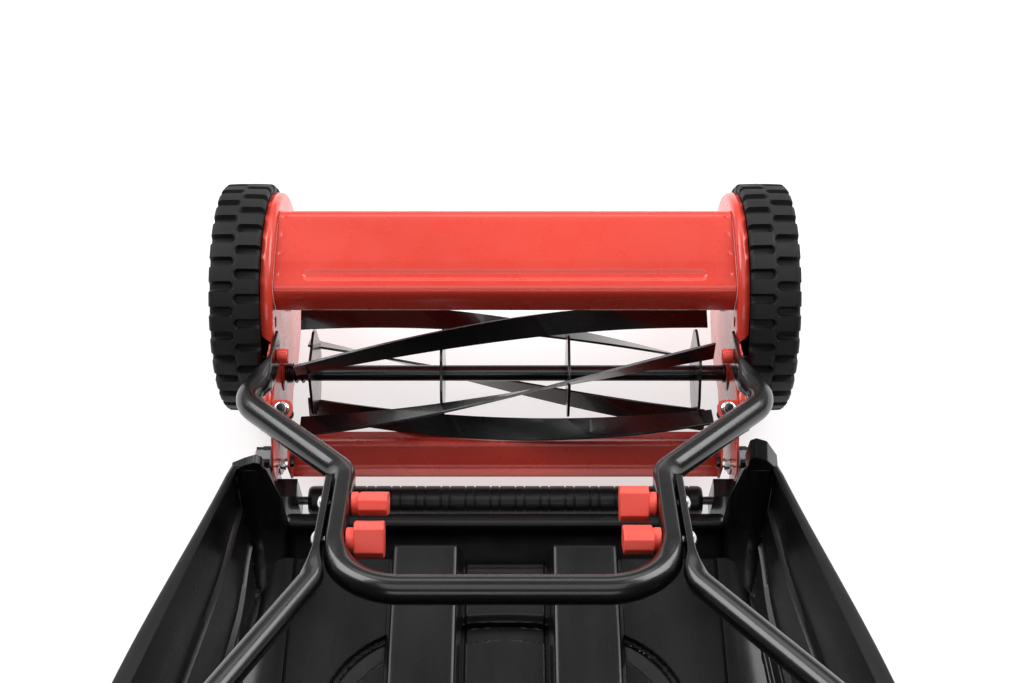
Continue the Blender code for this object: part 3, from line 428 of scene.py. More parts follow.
def wheel(word, side):
    body, hub, axis = "wheel_" + word, at(0, 0, 0), (side, 0, 0)
    profile = [(0.256, 0.0084), (0.256, 0.0194), (0.2475, 0.0205), (0.2455, 0.056),
               (0.245, 0.088), (0.26, 0.093), (0.2605, 0.1004), (0.219, 0.1004),
               (0.219, 0.0965), (0.2405, 0.0945), (0.2415, 0.018), (0.234, 0.0178),
               (0.234, 0.0084)]
    turned("wheel_body_" + word, profile, hub, axis, MOULDED, body, ["wheel_" + word], 96, 0.0018)
    teeth = []
    for k in range(RING_TEETH):
        for share, r in RING_TOOTH:
            a = tau * (k + share) / RING_TEETH + RING_TURN
            teeth.append((r * cos(a), r * sin(a)))
    turns = [tau * k / RING_SIDES for k in range(RING_SIDES)]
    prism("ring_gear_" + word, [(RING_R * cos(a), RING_R * sin(a)) for a in turns], [teeth],
          side * 0.2215, side * 0.231, MOULDED, body, bevel=0.0002)
    cap = [(0.2638, 0), (0.2636, 0.012), (0.262, 0.0185), (0.2596, 0.0225), (0.249, 0.0225),
           (0.249, 0.0212), (0.257, 0.02), (0.259, 0.012), (0.259, 0)]
    turned("wheel_cap_" + word, cap, hub, axis, KNOB_RED, body, ["hub_cap_" + word], 64, 0.0014)


# ---- side plates ----
PLATE_FACE, PLATE_R, PLATE_LIP, SHEET = 0.2078, 0.0985, 0.2170, 0.0016
PLATE_BEND = 0.0042              # radius of the bend from the face to the rim
PIVOT = (-PIVOT_S * COS_H, PIVOT_S * SIN_H)
# The diamond hole, the reel bearing's and the roller bolt's: (radius, Y, Z, sides).
PLATE_HOLES = ((0.0068, -0.0588, 0.0531, 4), (0.0122, REEL_Y, REEL_Z, 32),
               (0.0036, -0.156, -0.035, 32))
PAD = (-0.1357, 0.0304)
PAD_TILT = radians(20)


def plate_outline():
    """The plate's (y, z) outline and how much of the outward rim each of its points has."""
    rim = arc(PLATE_R, -128, 147, 150)
    ear = arc(0.0148, 72, 213, 16, PIVOT)
    top = soften([(-0.1063, 0.0372), (-0.108, 0.034), (-0.125, 0.0355), (-0.149, 0.0275),
                  (-0.16, 0.0125), (-0.181, -0.004)], 0.006)
    end = soften([(-0.181, -0.004), (-0.181, -0.026), (-0.163, -0.03), (-0.163, -0.05),
                  (-0.15, -0.066), (-0.12, -0.078), (-0.075, -0.08)], 0.004)[1:]
    last = len(rim) - 1
    lift = [min(smooth_step(0, 4, i), smooth_step(0, 3, last - i)) for i in range(len(rim))]
    lift += [0.0] * len(ear)
    lift += [1.0 if -0.1553 < y < -0.1072 else 0.0 for y, z in top]
    lift += [0.0] * len(end)
    return rim + ear + top + end, lift


def side_plate(word, side):
    """A pressed tray: flat face, rounded bend and an outward rim where the edge has one."""
    outline, lift = plate_outline()
    count, levels = len(outline), 6
    bm = bmesh.new()
    rows = []
    for k in range(levels + 2):
        t = min(k / levels, 1.0) * pi / 2
        inset = PLATE_BEND * (1 - sin(t))
        out = PLATE_BEND * (1 - cos(t))
        if k > levels:
            out += PLATE_LIP - PLATE_FACE - PLATE_BEND
        row = []
        for i, p in enumerate(outline):
            way = (Vector(outline[(i + 1) % count]) - Vector(outline[i - 1])).normalized()
            here = Vector(p) + Vector((-way.y, way.x)) * inset
            row.append(bm.verts.new(at(side * (PLATE_FACE + out * lift[i]), here.x, here.y)))
        rows.append(row)
    bm.faces.new(rows[0])
    grid_faces(bm, rows, close_v=True)
    bmesh.ops.remove_doubles(bm, verts=bm.verts, dist=0.00001)
    bmesh.ops.dissolve_degenerate(bm, edges=bm.edges, dist=0.000001)
    plate = link("plate_" + word, bm, RED, "chassis", ["side_plate_" + word], 40)
    modifier(plate, "SOLIDIFY", thickness=SHEET, offset=0)
    apply_all(plate)
    for radius, y, z, sides in PLATE_HOLES:
        drill(plate, radius, at(side * PLATE_FACE, y, z), sides)
    stop = [(-0.097, 0.017), (-0.1085, 0.0345), (-0.1099, 0.0337), (-0.0984, 0.0162)]
    prism("plate_stop_" + word, stop, [], side * 0.207, side * 0.217, RED, "chassis",
          bevel=0.0005)


def tilted(x, along, up):
    """A place in the frame of the adjusting pad: along its slope, and up its normal."""
    y = PAD[0] + along * cos(PAD_TILT) - up * sin(PAD_TILT)
    z = PAD[1] + along * sin(PAD_TILT) + up * cos(PAD_TILT)
    return at(x, y, z)


def pad(word, side):
    """The tab bent in from the plate that carries the bed knife's adjusting bolt."""
    outline = [(0.207, -0.0085), (0.1945, -0.0085), (0.1905, -0.0068), (0.1888, -0.003),
               (0.1888, 0.003), (0.1905, 0.0068), (0.1945, 0.0085), (0.207, 0.0085)]
    sections = [[tilted(side * x, a, up) for x, a in outline] for up in (-0.001, 0.001)]
    piece = loft("plate_pad_" + word, sections, RED, "chassis", (), 32)
    break_edges(piece, 0.0006, 3)
    centre = tilted(side * 0.1985, 0, 0)
    up = tilted(side * 0.1985, 0, 1) - centre
    nut = [(0.0074, 0.003), (0.0078, 0.0049), (0.003, 0.0053), (0.0024, 0.0068),
           (0.0012, 0.007), (0.0012, 0.003)]
    turned("adjust_nut_" + word, nut, centre, up, ZINC, "chassis", ["bed_nut_" + word], 36,
           0.0005)
    bolt = [(0.015, 0), (0.015, 0.0024), (0.0144, 0.0028), (-0.0325, 0.0028),
            (-0.0325, 0.0056), (-0.0365, 0.0056), (-0.0365, 0)]
    turned("adjust_bolt_" + word, bolt, centre, up, MOULDED, "chassis", ["bed_bolt_" + word], 24,
           0.0003)


# ---- deflector and bed ----
DEFLECTOR = [(0.0615, 0.0385), (0.0565, 0.052), (0.05, 0.067), (0.0432, 0.0798),
             (0.0395, 0.0846), (0.0352, 0.087), (0.029, 0.0877), (0.015, 0.0876),
             (-0.001, 0.0873), (-0.012, 0.087), (-0.0165, 0.0868), (-0.022, 0.086),
             (-0.032, 0.085), (-0.04, 0.0843), (-0.0438, 0.0825), (-0.0462, 0.0788),
             (-0.0475, 0.0735), (-0.048, 0.066), (-0.0481, 0.0572)]
TOP_Z = 0.08                     # the deflector's rib and welds lie above this
GROOVE_Y, GROOVE_HALF = -0.0295, 0.176
WELD_X, WELD_YS = 0.201, (0.033, 0.013, -0.008, -0.03)


def sheet_from(name, curve, half, steps, relief, thickness, body, node):
    """A red sheet along X from a (y, z) curve, moved along its normal by relief(x, place)."""
    sections = []
    for i, p in enumerate(curve):
        way = direction(curve, i)
        normal = Vector((way.y, -way.x))
        section = []
        for k in range(steps + 1):
            x = half * (2 * k / steps - 1)
            here = p + normal * relief(x, p)
            section.append(at(x, here.x, here.y))
        sections.append(section)
    bm = bmesh.new()
    skin(bm, sections)
    obj = link(name, bm, RED, body, [node], 50)
    modifier(obj, "SOLIDIFY", thickness=thickness, offset=0)
    return obj


def deflector_relief(x, p):
    """The rib pressed along the deflector's top, and the spot welds over the side plates."""
    if p.y < TOP_Z:
        return 0.0
    gap = hypot(max(abs(x) - GROOVE_HALF, 0.0), p.x - GROOVE_Y) - 0.0045
    rib = 0.0015 * (1 - smooth_step(-0.0018, 0.0008, gap))
    near = min(hypot(abs(x) - WELD_X, p.x - y) for y in WELD_YS)
    return 0.00045 * (1 - smooth_step(0.0008, 0.0032, near)) - rib


def deflector():
    sheet_from("deflector", even_curve(DEFLECTOR, 110), 0.2066, 300, deflector_relief, SHEET,
               "chassis", "front_deflector")


def bed():
    bar = rounded_profile([(-0.137, -0.0716), (-0.115, -0.0688), (-0.129, -0.0495),
                           (-0.1466, -0.0673), (-0.1553, -0.0689)], 0.004, 8)
    break_edges(sheet_from("bed_cover", bar, 0.1995, 60, lambda x, p: 0.0, 0.002, "bed",
                           "bed_bar"), 0.0005)
    for word, side in SIDES:
        ear = soften([(-0.148, -0.069), (-0.12, -0.069), (-0.12, -0.02), (-0.1318, -0.008),
                      (-0.1325, 0.001), (-0.14, 0.0), (-0.148, -0.024), (-0.164, -0.029),
                      (-0.162, -0.06), (-0.148, -0.069)], 0.003)[:-1]
        prism("bed_ear_" + word, ear, [], side * 0.1976, side * 0.1996, RED, "bed")


# ---- reel ----
BLADES, BLADE_LENGTH, BLADE_TWIST = 5, 0.379, radians(92)
FIRST_BLADE, BLADE_LAG, BLADE_ROOT_R, BLADE_T = radians(67.5), radians(7), 0.0425, 0.0024
SPIDER_XS, SPIDER_HALF = (-0.178, -0.0585, 0.0585, 0.178), 0.00125
# One arm of a reel disc: (degrees from the blade's root, radius).
SPIDER_ARM = ((17, 0.0395), (6, 0.0412), (-8, 0.0412), (-19, 0.0395), (-36, 0.0365))
REEL_BORE = 0.0077
BEARING_FACE = 0.2052
REEL_CENTRE = at(0, REEL_Y, REEL_Z)


def blade(index):
    steps = 96
    sections = []
    for i in range(steps + 1):
        t = i / steps - 0.5
        lead = FIRST_BLADE - tau * index / BLADES - BLADE_TWIST * t
        tip = Vector((cos(lead), sin(lead))) * REEL_R
        lead += BLADE_LAG
        root = Vector((cos(lead), sin(lead))) * BLADE_ROOT_R
        across = (tip - root).orthogonal().normalized() * (BLADE_T / 2)
        corners = [tip + across, tip - across, root - across, root + across]
        path = rounded_profile(corners + corners[:1], 0.0004, 1)[1:-1] + [corners[0]]
        sections.append([at(BLADE_LENGTH * t, REEL_Y + c.x, REEL_Z + c.y) for c in path])
    number = str(index + 1)
    obj = loft("blade_" + number, sections, [BLADE, EDGE], "reel", ["reel_blade_" + number],
               40)
    for face in obj.data.polygons:
        flat = face.center - REEL_CENTRE
        radius = hypot(flat.y, flat.z)
        facing = abs(face.normal.y * flat.y + face.normal.z * flat.z) / radius
        if radius > REEL_R - 0.0012 and facing > 0.85:
            face.material_index = 1


def spider(index):
    x = SPIDER_XS[index]
    outline = []
    for k in range(BLADES):
        arm_at = FIRST_BLADE - tau * k / BLADES - BLADE_TWIST * x / BLADE_LENGTH + BLADE_LAG
        for offset, radius in SPIDER_ARM:
            a = arm_at + radians(offset)
            outline.append((REEL_Y + radius * cos(a), REEL_Z + radius * sin(a)))
    bore = arc(REEL_BORE, 0, 345, 23, (REEL_Y, REEL_Z))
    number = str(index + 1)
    prism("spider_" + number, outline, [bore], x - SPIDER_HALF, x + SPIDER_HALF, BLADE, "reel",
          ["reel_spider_" + number])


def reel_coil(start, end):
    """The spring on the reel's shaft: turns wound close, then open ones."""
    closed, opened, wire, radius, per_turn, around = 3, 3, 0.0008, 0.0088, 28, 10
    start += wire
    closed_pitch = 2 * wire + 0.0002
    open_pitch = (end - start - closed_pitch * closed) / opened
    places = []
    for i in range((closed + opened) * per_turn + 1):
        turns = i / per_turn
        x = start + closed_pitch * min(turns, closed) + open_pitch * max(turns - closed, 0)
        a = tau * turns
        places.append(at(x, REEL_Y + radius * cos(a), REEL_Z + radius * sin(a)))
    sections = []
    for i, p in enumerate(places):
        way = direction(places, i)
        side_way = way.cross(Vector((1, 0, 0))).normalized()
        third = way.cross(side_way).normalized()
        turns = [tau * k / around for k in range(around)]
        sections.append([p + (side_way * cos(a) + third * sin(a)) * wire for a in turns])
    loft("reel_coil", sections, TUBE, "reel", ["reel_spring"], 60)


def reel():
    for i in range(BLADES):
        blade(i)
    for i in range(len(SPIDER_XS)):
        spider(i)
    bar = [(0.232, 0), (0.232, 0.0068), (0.2313, 0.0075), (-0.2313, 0.0075), (-0.232, 0.0068),
           (-0.232, 0)]
    turned("reel_bar", bar, REEL_CENTRE, (1, 0, 0), BLADE, "reel", ["reel_shaft"], 40, 0.0003)
    face = BEARING_FACE - 0.0003
    ring = [(face, REEL_BORE), (face, 0.009), (face - 0.0022, 0.009), (face - 0.0022, REEL_BORE)]
    turned("reel_ring", ring, REEL_CENTRE, (1, 0, 0), BLADE, "reel", ["reel_collar"], 40, 0.0004)
    reel_coil(-face, SPIDER_XS[0] - 0.0024)
    for word, side in SIDES:
        cup = [(0.2125, REEL_BORE), (0.2125, 0.0118), (0.2067, 0.0118), (0.2067, 0.0165),
               (0.206, 0.0165), (BEARING_FACE, 0.013), (BEARING_FACE, REEL_BORE)]
        turned("bearing_" + word, cup, REEL_CENTRE, (side, 0, 0), RED, "chassis",
               ["reel_bearing_" + word], 48, 0.0005)


# ---- handle ----
TUBE_R, UPPER_R = 0.011, 0.0095
ARM_X, CROSSBAR_S, BOLT_SS = 0.125, 0.425, (0.324, 0.368)
UPPER_X, UPPER_HALF = 0.1361, 0.0032
GRIP_X, SHIFT, TOP_S, GRIP_S, TOP_GAP = 0.235, 0.021, 0.78, 1.2, 0.0123
KNOB_TURN = {"upper_left": -33, "lower_left": 60, "upper_right": 57, "lower_right": -21}
KNOB_Y, KNOB_Z, KNOB_CHAMFER = 0.01375, 0.0088, 0.0048
# Sections of a knob: (X, radius of the collar or 0 for the block, inset, share of its width).
KNOB_SECTIONS = ((0.1171, 0.0086, 0, 1), (0.1167, 0.0092, 0, 1), (0.1124, 0.0092, 0, 1),
                 (0.1118, 0.0088, 0, 1), (0.1112, 0, 0.0008, 1), (0.1104, 0, 0, 1),
                 (0.0995, 0, 0, 0.986), (0.0893, 0, 0, 1), (0.0886, 0, 0.0008, 1))


def rounded_path(points, radii):
    """A run of 2-D points with arcs at its corners, in steps of 5 degrees and 8 mm."""
    points = [Vector(p) for p in points]
    path = [points[0]]
    for before, corner, after, radius in zip(points, points[1:], points[2:], radii):
        into, out = (corner - before).normalized(), (after - corner).normalized()
        bend = into.angle(out)
        reach = radius * tan(bend / 2)
        normal = Vector((-into.y, into.x)) * (1 if into.cross(out) > 0 else -1)
        centre = corner - into * reach + normal * radius
        count = max(3, ceil(bend / radians(5)))
        for k in range(count + 1):
            a = bend * k / count
            path.append(centre - normal * radius * cos(a) + into * radius * sin(a))
    path.append(points[-1])
    fine = [path[0]]
    for a, b in zip(path, path[1:]):
        count = max(1, ceil((b - a).length / 0.008))
        fine += [a.lerp(b, k / count) for k in range(1, count + 1)]
    return fine


def eased(stops, d):
    """The value at a distance d, eased between (distance, value) stops."""
    for (d0, w0), (d1, w1) in zip(stops, stops[1:]):
        if d <= d1:
            return w0 + (w1 - w0) * smooth_step(d0, d1, d)
    return stops[-1][1]


def pressed_tube(name, path, near, far, radius, node):
    """A tube in the handle's plane; near and far give its half width by distance from each end."""
    around = 36
    total = lengths_along(path)
    sections = []
    for i, p in enumerate(path):
        way = direction(path, i)
        across = Vector((-way.y, way.x))
        half = min(eased(near, total[i]), eased(far, total[-1] - total[i]))
        tall = radius + (radius - half) * 0.42
        power = 2 / (2 + 6 * (radius - half) / radius)
        section = []
        for k in range(around):
            a = tau * (k + 0.5) / around
            q = p + across * half * signed_power(cos(a), power)
            section.append(on_handle(q.x, q.y, tall * signed_power(sin(a), power)))
        sections.append(section)
    loft(name, sections, TUBE, "handle", [node], 50)


def knob(where, side, s):
    """A wing knob: a round collar against the tube and a flat-sided block with cut corners."""
    turn = radians(KNOB_TURN[where]) - HANDLE_ANGLE
    centre = on_handle(0, s)
    around = 48
    sections = []
    for x, radius, inset, width in KNOB_SECTIONS:
        half_y, half_z = KNOB_Y - inset, KNOB_Z - inset
        section = []
        for k in range(around):
            c, d = cos(tau * k / around), sin(tau * k / around)
            reach = radius or min(half_y / max(abs(c), 1e-6), half_z / max(abs(d), 1e-6),
                                  (half_y + half_z - KNOB_CHAMFER) / (abs(c) + abs(d)))
            y, z = reach * c * width, reach * d
            section.append(centre + Vector((side * x, y * cos(turn) - z * sin(turn),
                                            y * sin(turn) + z * cos(turn))))
        sections.append(section)
    piece = loft("knob_%s_grip" % where, sections, KNOB_RED, "knob_" + where,
                 ["handle_knob_" + where], 35)
    break_edges(piece, 0.0005, angle=35)


def handle():
    left = [(-0.2049, 0.088), (-0.2049, 0.132), (-0.2225, 0.18), (-ARM_X, 0.286),
            (-ARM_X, CROSSBAR_S)]
    bends = [0.03, 0.03, 0.032, 0.052]
    path = rounded_path(left + [(-x, s) for x, s in reversed(left)], bends + bends[::-1])
    press = [(0.0, 0.0016), (0.04, 0.0016), (0.068, TUBE_R), (0.222, TUBE_R), (0.252, 0.0075),
             (0.324, 0.0075), (0.35, TUBE_R)]
    pressed_tube("handle_lower", path, press, press, TUBE_R, "lower_handle")
    round_off = [(0.0, UPPER_HALF), (0.085, UPPER_HALF), (0.115, UPPER_R)]
    flat_end = [(0.0, 0.006), (0.062, 0.006), (0.09, UPPER_R)]
    for word, side in SIDES:
        top_x = side * GRIP_X + SHIFT
        run = [(side * UPPER_X, 0.303), (side * (UPPER_X + 0.001), 0.412), (top_x, 0.584),
               (top_x, TOP_S + 0.06)]
        pressed_tube("handle_upper_" + word, rounded_path(run, [0.035, 0.06]), round_off,
                     flat_end, UPPER_R, "handle_tube_" + word)
    x = GRIP_X + TOP_GAP
    loop = [(-x + SHIFT, TOP_S), (-x + SHIFT, GRIP_S), (x + SHIFT, GRIP_S), (x + SHIFT, TOP_S)]
    pressed_tube("handle_grip_bar", rounded_path(loop, [0.07, 0.07]), flat_end, flat_end, UPPER_R,
                 "handle_top")
    inner = UPPER_R + 0.0003
    grip = [(0.15, inner), (0.15, 0.0138), (0.147, 0.015), (-0.147, 0.015), (-0.15, 0.0138),
            (-0.15, inner)]
    turned("handle_foam", grip, on_handle(SHIFT, GRIP_S), (1, 0, 0), FOAM, "handle",
           ["handle_grip"], 48, 0.001)
    head = UPPER_X + UPPER_HALF + 0.0004
    bolt = [(head + 0.0042, 0), (head + 0.0038, 0.0025), (head + 0.0027, 0.0049),
            (head + 0.001, 0.0067), (head, 0.007), (head, 0.0029), (0.101, 0.0029), (0.101, 0)]
    boss = [(0.2112, 0), (0.2112, 0.006), (0.209, 0.0065), (0.209, 0.0038), (0.2029, 0.0038),
            (0.2029, 0.0068), (0.194, 0.0068), (0.1932, 0.006), (0.1932, 0)]
    for word, side in SIDES:
        for s, level in zip(BOLT_SS, ("upper_", "lower_")):
            where = level + word
            turned("bolt_" + where, bolt, on_handle(0, s), (side, 0, 0), ZINC, "handle",
                   ["handle_bolt_" + where], 40, 0.0008)
            knob(where, side, s)
        turned("pivot_" + word, boss, on_handle(0, PIVOT_S), (side, 0, 0), RED, "handle",
               ["handle_pivot_" + word], 40, 0.0006)


# ---- roller ----
ROLLER = (-0.169, -0.0935)


def roller():
    half, r = 0.186, 0.014
    profile = [(half, 0.0044), (half, 0.0118), (half - 0.0015, 0.0132), (half - 0.004, r)]
    x = half - 0.012
    wide = True
    while x > -half + 0.012:
        profile += [(x + 0.0008, r), (x + 0.0005, r - 0.0011), (x - 0.0005, r - 0.0011),
                    (x - 0.0008, r)]
        x -= 0.015 if wide else 0.0085
        wide = not wide
    profile += [(-half + 0.004, r), (-half + 0.0015, 0.0132), (-half, 0.0118), (-half, 0.0044)]
    turned("roller_body", profile, at(0, *ROLLER), (1, 0, 0), MOULDED, "roller", ["rear_roller"],
           64, 0.0003)


def clamp_head(word, side):
    """A cap over the top of the roller's height clamp, painted grey as the highlight of light
    falling on the black clamp's top.
    """
    outline = [(-0.1785, -0.002), (-0.1785, 0.0062), (-0.1748, 0.0098), (-0.166, 0.0098),
               (-0.1615, 0.0055), (-0.1615, -0.0024), (-0.17, -0.0034)]
    prism("clamp_head_" + word, outline, [], side * 0.2088, side * 0.2224, CLAMP_HIGHLIGHT, "carriage",
          bevel=0.0012)


# ---- grass box: places are given from the axle ----
BOX_REAR = -0.5                  # Y of the rear wall
CORNER_R = 0.03                  # plan radius of the rear corners
BEND_Y = BOX_REAR + CORNER_R     # where the side wall ends and its corner begins
FLOOR_EDGE = -0.2297             # Y where the floor begins, behind the lip
FLOOR_HALF = 0.196
RIB_IN, RIB_OUT, RIB_FRONT, RIB_HEIGHT = 0.0435, 0.1018, -0.2265, 0.024
RIB_DRAFT, RIB_FILLET = 0.0055, 0.0022
PANEL_HALF, PANEL_HEIGHT = 0.038, 0.003    # raised panel between the two floor ribs
PANEL_SETBACK = 0.007            # how far behind the ribs' front ends the panel starts
STEP_TOP, STEP_BEVEL, STEP_FOOT = -0.2867, -0.2946, -0.3121    # the arched step in the panel
DISC_X, DISC_Y = 0.0705, -0.393  # middle of the ringed disc beside each floor rib
DISC_OUTER, DISC_EDGE, DISC_INNER = 0.092, 0.087, 0.0712
TROUGH_Z = -0.0985
BOX_SKIN = 0.0025
PER_SPAN = 16                    # steps of a wall's curves between two stations
LIP_Y, LIP_Z, LIP_R, LIP_HALF = -0.1945, -0.086, 0.0078, 0.2052
# How the lip's bar is rounded off at an end: (distance from it, share of the section).
LIP_ENDS = ((0.0, 0.45), (0.0006, 0.72), (0.0016, 0.88), (0.003, 0.97), (0.005, 1.0))
# The side wall's section from the rim down to the floor's edge, as shares of its width and height.
WALL_SECTION = ((1.0, 1.0), (0.985, 0.8), (0.965, 0.51), (0.8, 0.155), (0.71, 0.09),
                (0.6, 0.05), (0.42, 0.022), (0.2, 0.007), (0.0, 0.0))
# Where the wall's front edge runs, at the same stations: the inner corner of the box.
CORNER_EDGE = ((0.2321, -0.1995, 0.04), (0.2345, -0.201, 0.015), (0.2362, -0.205, -0.0185),
               (0.2335, -0.2225, -0.064), (0.23, -0.2442, -0.075), (0.2238, -0.2646, -0.0824),
               (0.216, -0.24, -0.0838), (0.206, -0.231, -0.0858), (FLOOR_HALF, FLOOR_EDGE, -0.0868))
# The post beside that corner, and the cheek from it to its free edge at the inlet.
POST_EDGE = ((0.2131, -0.1992, 0.04), (0.219, -0.2005, 0.012), (0.221, -0.205, -0.0156),
             (0.2224, -0.213, -0.045), (0.2226, -0.218, -0.06), (0.2205, -0.2297, -0.0685),
             (0.2185, -0.2442, -0.075), (0.2165, -0.264, -0.0826))
CHEEK_EDGE = ((0.2071, -0.199, 0.04), (0.2045, -0.1985, 0.01), (0.2012, -0.1985, -0.025),
              (0.2012, -0.1988, -0.055), (0.2016, -0.199, -0.08), (0.202, -0.201, -0.099),
              (0.203, -0.223, -0.099), (0.209, -0.248, -0.09))
# Stiffening ribs pressed into the wall: (station of WALL_SECTION, half width, height).
WALL_RIBS = ((2, 0.0022, 0.0044), (3, 0.0028, 0.005), (5, 0.003, 0.0024))


def floor_z(y):
    return -0.0915 + 0.1317 * (-0.195 - y)


def rim_z(y):
    return 0.04 + 0.566 * (-0.192 - y)


def rim_x(y):
    """|X| of the rim's inner edge."""
    return 0.2312 + 0.151 * (-0.2016 - y)


def on_section(y, share):
    """The place of a share of WALL_SECTION on the right wall at Y."""
    floor = floor_z(y)
    x = FLOOR_HALF + (rim_x(y) - FLOOR_HALF) * share.x
    return Vector((x, y, floor + (rim_z(y) - floor) * share.y))


def wall_rows():
    """Rows of places of the right wall, front to rear, then round the corner to the rear wall."""
    section = smooth_curve([(a, b, 0) for a, b in WALL_SECTION], PER_SPAN)
    front = smooth_curve(CORNER_EDGE, PER_SPAN)
    steps, turns = 120, 10
    rows = []
    for i in range(steps + 1):
        s = i / steps
        row = []
        for start, share in zip(front, section):
            y = start.y + (BEND_Y - start.y) * s
            correction = start - on_section(start.y, share)
            row.append(on_section(y, share) + correction * (1 - smooth_step(0.0, 0.35, s)))
        rows.append(row)
    for row in rows:
        press_ribs(row, rows[0])
    for i in range(1, turns + 1):
        a = pi / 2 * i / turns
        row = []
        for share in section:
            p = on_section(BEND_Y - CORNER_R * sin(a), share)
            p.x -= CORNER_R * (1 - cos(a)) * min(1.0, 0.25 + share.x)
            row.append(p)
        rows.append(row)
    return rows


def press_ribs(row, first):
    """Raises the stiffening ribs on one row of the wall, with rounded front ends."""
    length = lengths_along(row)
    flat = [p.copy() for p in row]
    for station, half, height in WALL_RIBS:
        k0 = station * PER_SPAN
        behind = first[k0].y - flat[k0].y
        ramp = smooth_step(0.0025, 0.007, behind) * (1 - smooth_step(0.22, 0.24, behind))
        for k in range(len(flat)):
            gap = abs(length[k] - length[k0])
            if gap < half + 0.003:
                way = direction(flat, k)
                rise = 1 - smooth_step(half - 0.0012, half + 0.0014, gap)
                row[k] = row[k] + Vector((way.z, 0, -way.x)) * height * ramp * rise


def floor_relief(x, y):
    """Height of the box's floor above its plain slope."""
    ax = abs(x)
    rib = smooth_step(RIB_IN - RIB_DRAFT, RIB_IN, ax)
    rib *= 1 - smooth_step(RIB_OUT, RIB_OUT + RIB_DRAFT, ax)
    height = RIB_HEIGHT * rib
    inside = min(ax - RIB_IN, RIB_OUT - ax)
    if inside > -RIB_FILLET:
        height -= 0.7 * RIB_FILLET * max(1 - inside / RIB_FILLET, 0.0) ** 2 * rib
    if ax < RIB_IN - RIB_DRAFT + 0.001:
        height += PANEL_HEIGHT * (1 - smooth_step(PANEL_HALF - 0.0035, PANEL_HALF - 0.0015, ax))
        arch = ax * ax * 2.2
        top, bevel, foot = STEP_TOP - arch * 0.5, STEP_BEVEL - arch * 0.6, STEP_FOOT - arch * 1.6
        if y < top:
            sunk = 0.0045 * smooth_step(0.0, 1.0, (top - y) / (top - bevel))
            sunk += 0.009 * smooth_step(bevel + 0.0004, bevel - 0.0012, y)
            height -= sunk * (1 - smooth_step(foot + 0.001, foot - 0.0006, y))
    if ax > RIB_OUT + RIB_DRAFT * 0.5:
        r = hypot(ax - DISC_X, y - DISC_Y)
        groove = smooth_step(DISC_OUTER + 0.0008, DISC_OUTER - 0.0008, r)
        groove *= 1 - smooth_step(DISC_EDGE + 0.0008, DISC_EDGE - 0.0006, r)
        bowl = smooth_step(DISC_EDGE - 0.0006, DISC_EDGE - 0.0022, r)
        bowl *= smooth_step(DISC_INNER - 0.0008, DISC_INNER + 0.0008, r)
        slope = (DISC_EDGE - r) / (DISC_EDGE - DISC_INNER)
        height -= 0.005 * groove + (0.0015 + 0.0045 * slope) * bowl
    return height


def marks(low_end, high_end, spacing, edges=()):
    """Stations between two ends at a spacing, with extra ones round every edge."""
    fine = 0.0007
    count = ceil((high_end - low_end) / spacing)
    places = [low_end + (high_end - low_end) * i / count for i in range(count + 1)]
    for edge in edges:
        places += [edge + fine * k for k in (-2, -1, 0, 1, 2)]
    places = sorted(p for p in places if low_end <= p <= high_end)
    kept = [places[0]]
    for p in places[1:]:
        if p - kept[-1] > fine * 0.45:
            kept.append(p)
    kept[-1] = high_end
    return kept


def box_floor():
    foot_in, foot_out, plain = RIB_IN - RIB_DRAFT, RIB_OUT + RIB_DRAFT, 0.164
    half = marks(0.0, foot_out, 0.003, [foot_in, RIB_IN, RIB_OUT, foot_out, PANEL_HALF - 0.0025])
    half += marks(foot_out, plain, 0.0011)[1:] + marks(plain, FLOOR_HALF, 0.004)[1:]
    xs = [-x for x in reversed(half[1:])] + half
    ys = marks(BOX_REAR, FLOOR_EDGE, 0.0012, [STEP_BEVEL, STEP_FOOT])[::-1]
    sections = []
    for i, y in enumerate([FLOOR_EDGE] + ys):
        section = []
        for x in xs:
            shift = RIB_FRONT - FLOOR_EDGE if foot_in < abs(x) < foot_out else 0.0
            if abs(x) < foot_in:
                shift = -PANEL_SETBACK
            here = y + shift * (1 - smooth_step(0, 0.016, FLOOR_EDGE - y))
            z = TROUGH_Z if i == 0 else floor_z(y) + floor_relief(x, y)
            if i == 1:
                z -= 0.0008
                here += 0.0002
            section.append(at(x, here, z))
        sections.append(section)
    bm = bmesh.new()
    skin(bm, sections)
    piece = link("box_floor", bm, BOX, "box", sharp=42)
    modifier(piece, "SOLIDIFY", thickness=BOX_SKIN, offset=-1)


def box_walls():
    """Both side walls with a skirt under each front corner, their posts and cheeks, the rear."""
    rows = wall_rows()
    post, cheek = smooth_curve(POST_EDGE, 12), smooth_curve(CHEEK_EDGE, 12)
    reach, back = 5 * PER_SPAN, Vector((0, -0.0012, 0))
    strips = []
    for k, (c, p) in enumerate(zip(cheek, post)):
        place = reach * k / (len(post) - 1)
        above = min(int(place), reach - 1)
        q = rows[0][above].lerp(rows[0][above + 1], place - above)
        strips.append([c, c.lerp(p, 0.4), c.lerp(p, 0.8), p, p.lerp(q, 0.1) + back,
                       p.lerp(q, 0.5) + back, p.lerp(q, 0.9) + back, q])
    bm = bmesh.new()
    for side in (-1, 1):
        verts = skin(bm, [[at(side * p.x, p.y, p.z) for p in row] for row in rows])
        skirt = verts[0][6 * PER_SPAN - 6:]
        under = [bm.verts.new((v.co.x, v.co.y, AXLE_Z + TROUGH_Z)) for v in skirt]
        grid_faces(bm, [skirt, under])
        skin(bm, [[at(side * p.x, p.y, p.z) for p in strip] for strip in strips])
    columns = 40
    skin(bm, [[at(p.x * (1 - 2 * k / columns), p.y, p.z) for k in range(columns + 1)]
              for p in rows[-1]])
    piece = link("box_walls", bm, BOX, "box", ["grass_box"], 40)
    modifier(piece, "SOLIDIFY", thickness=BOX_SKIN, offset=1)


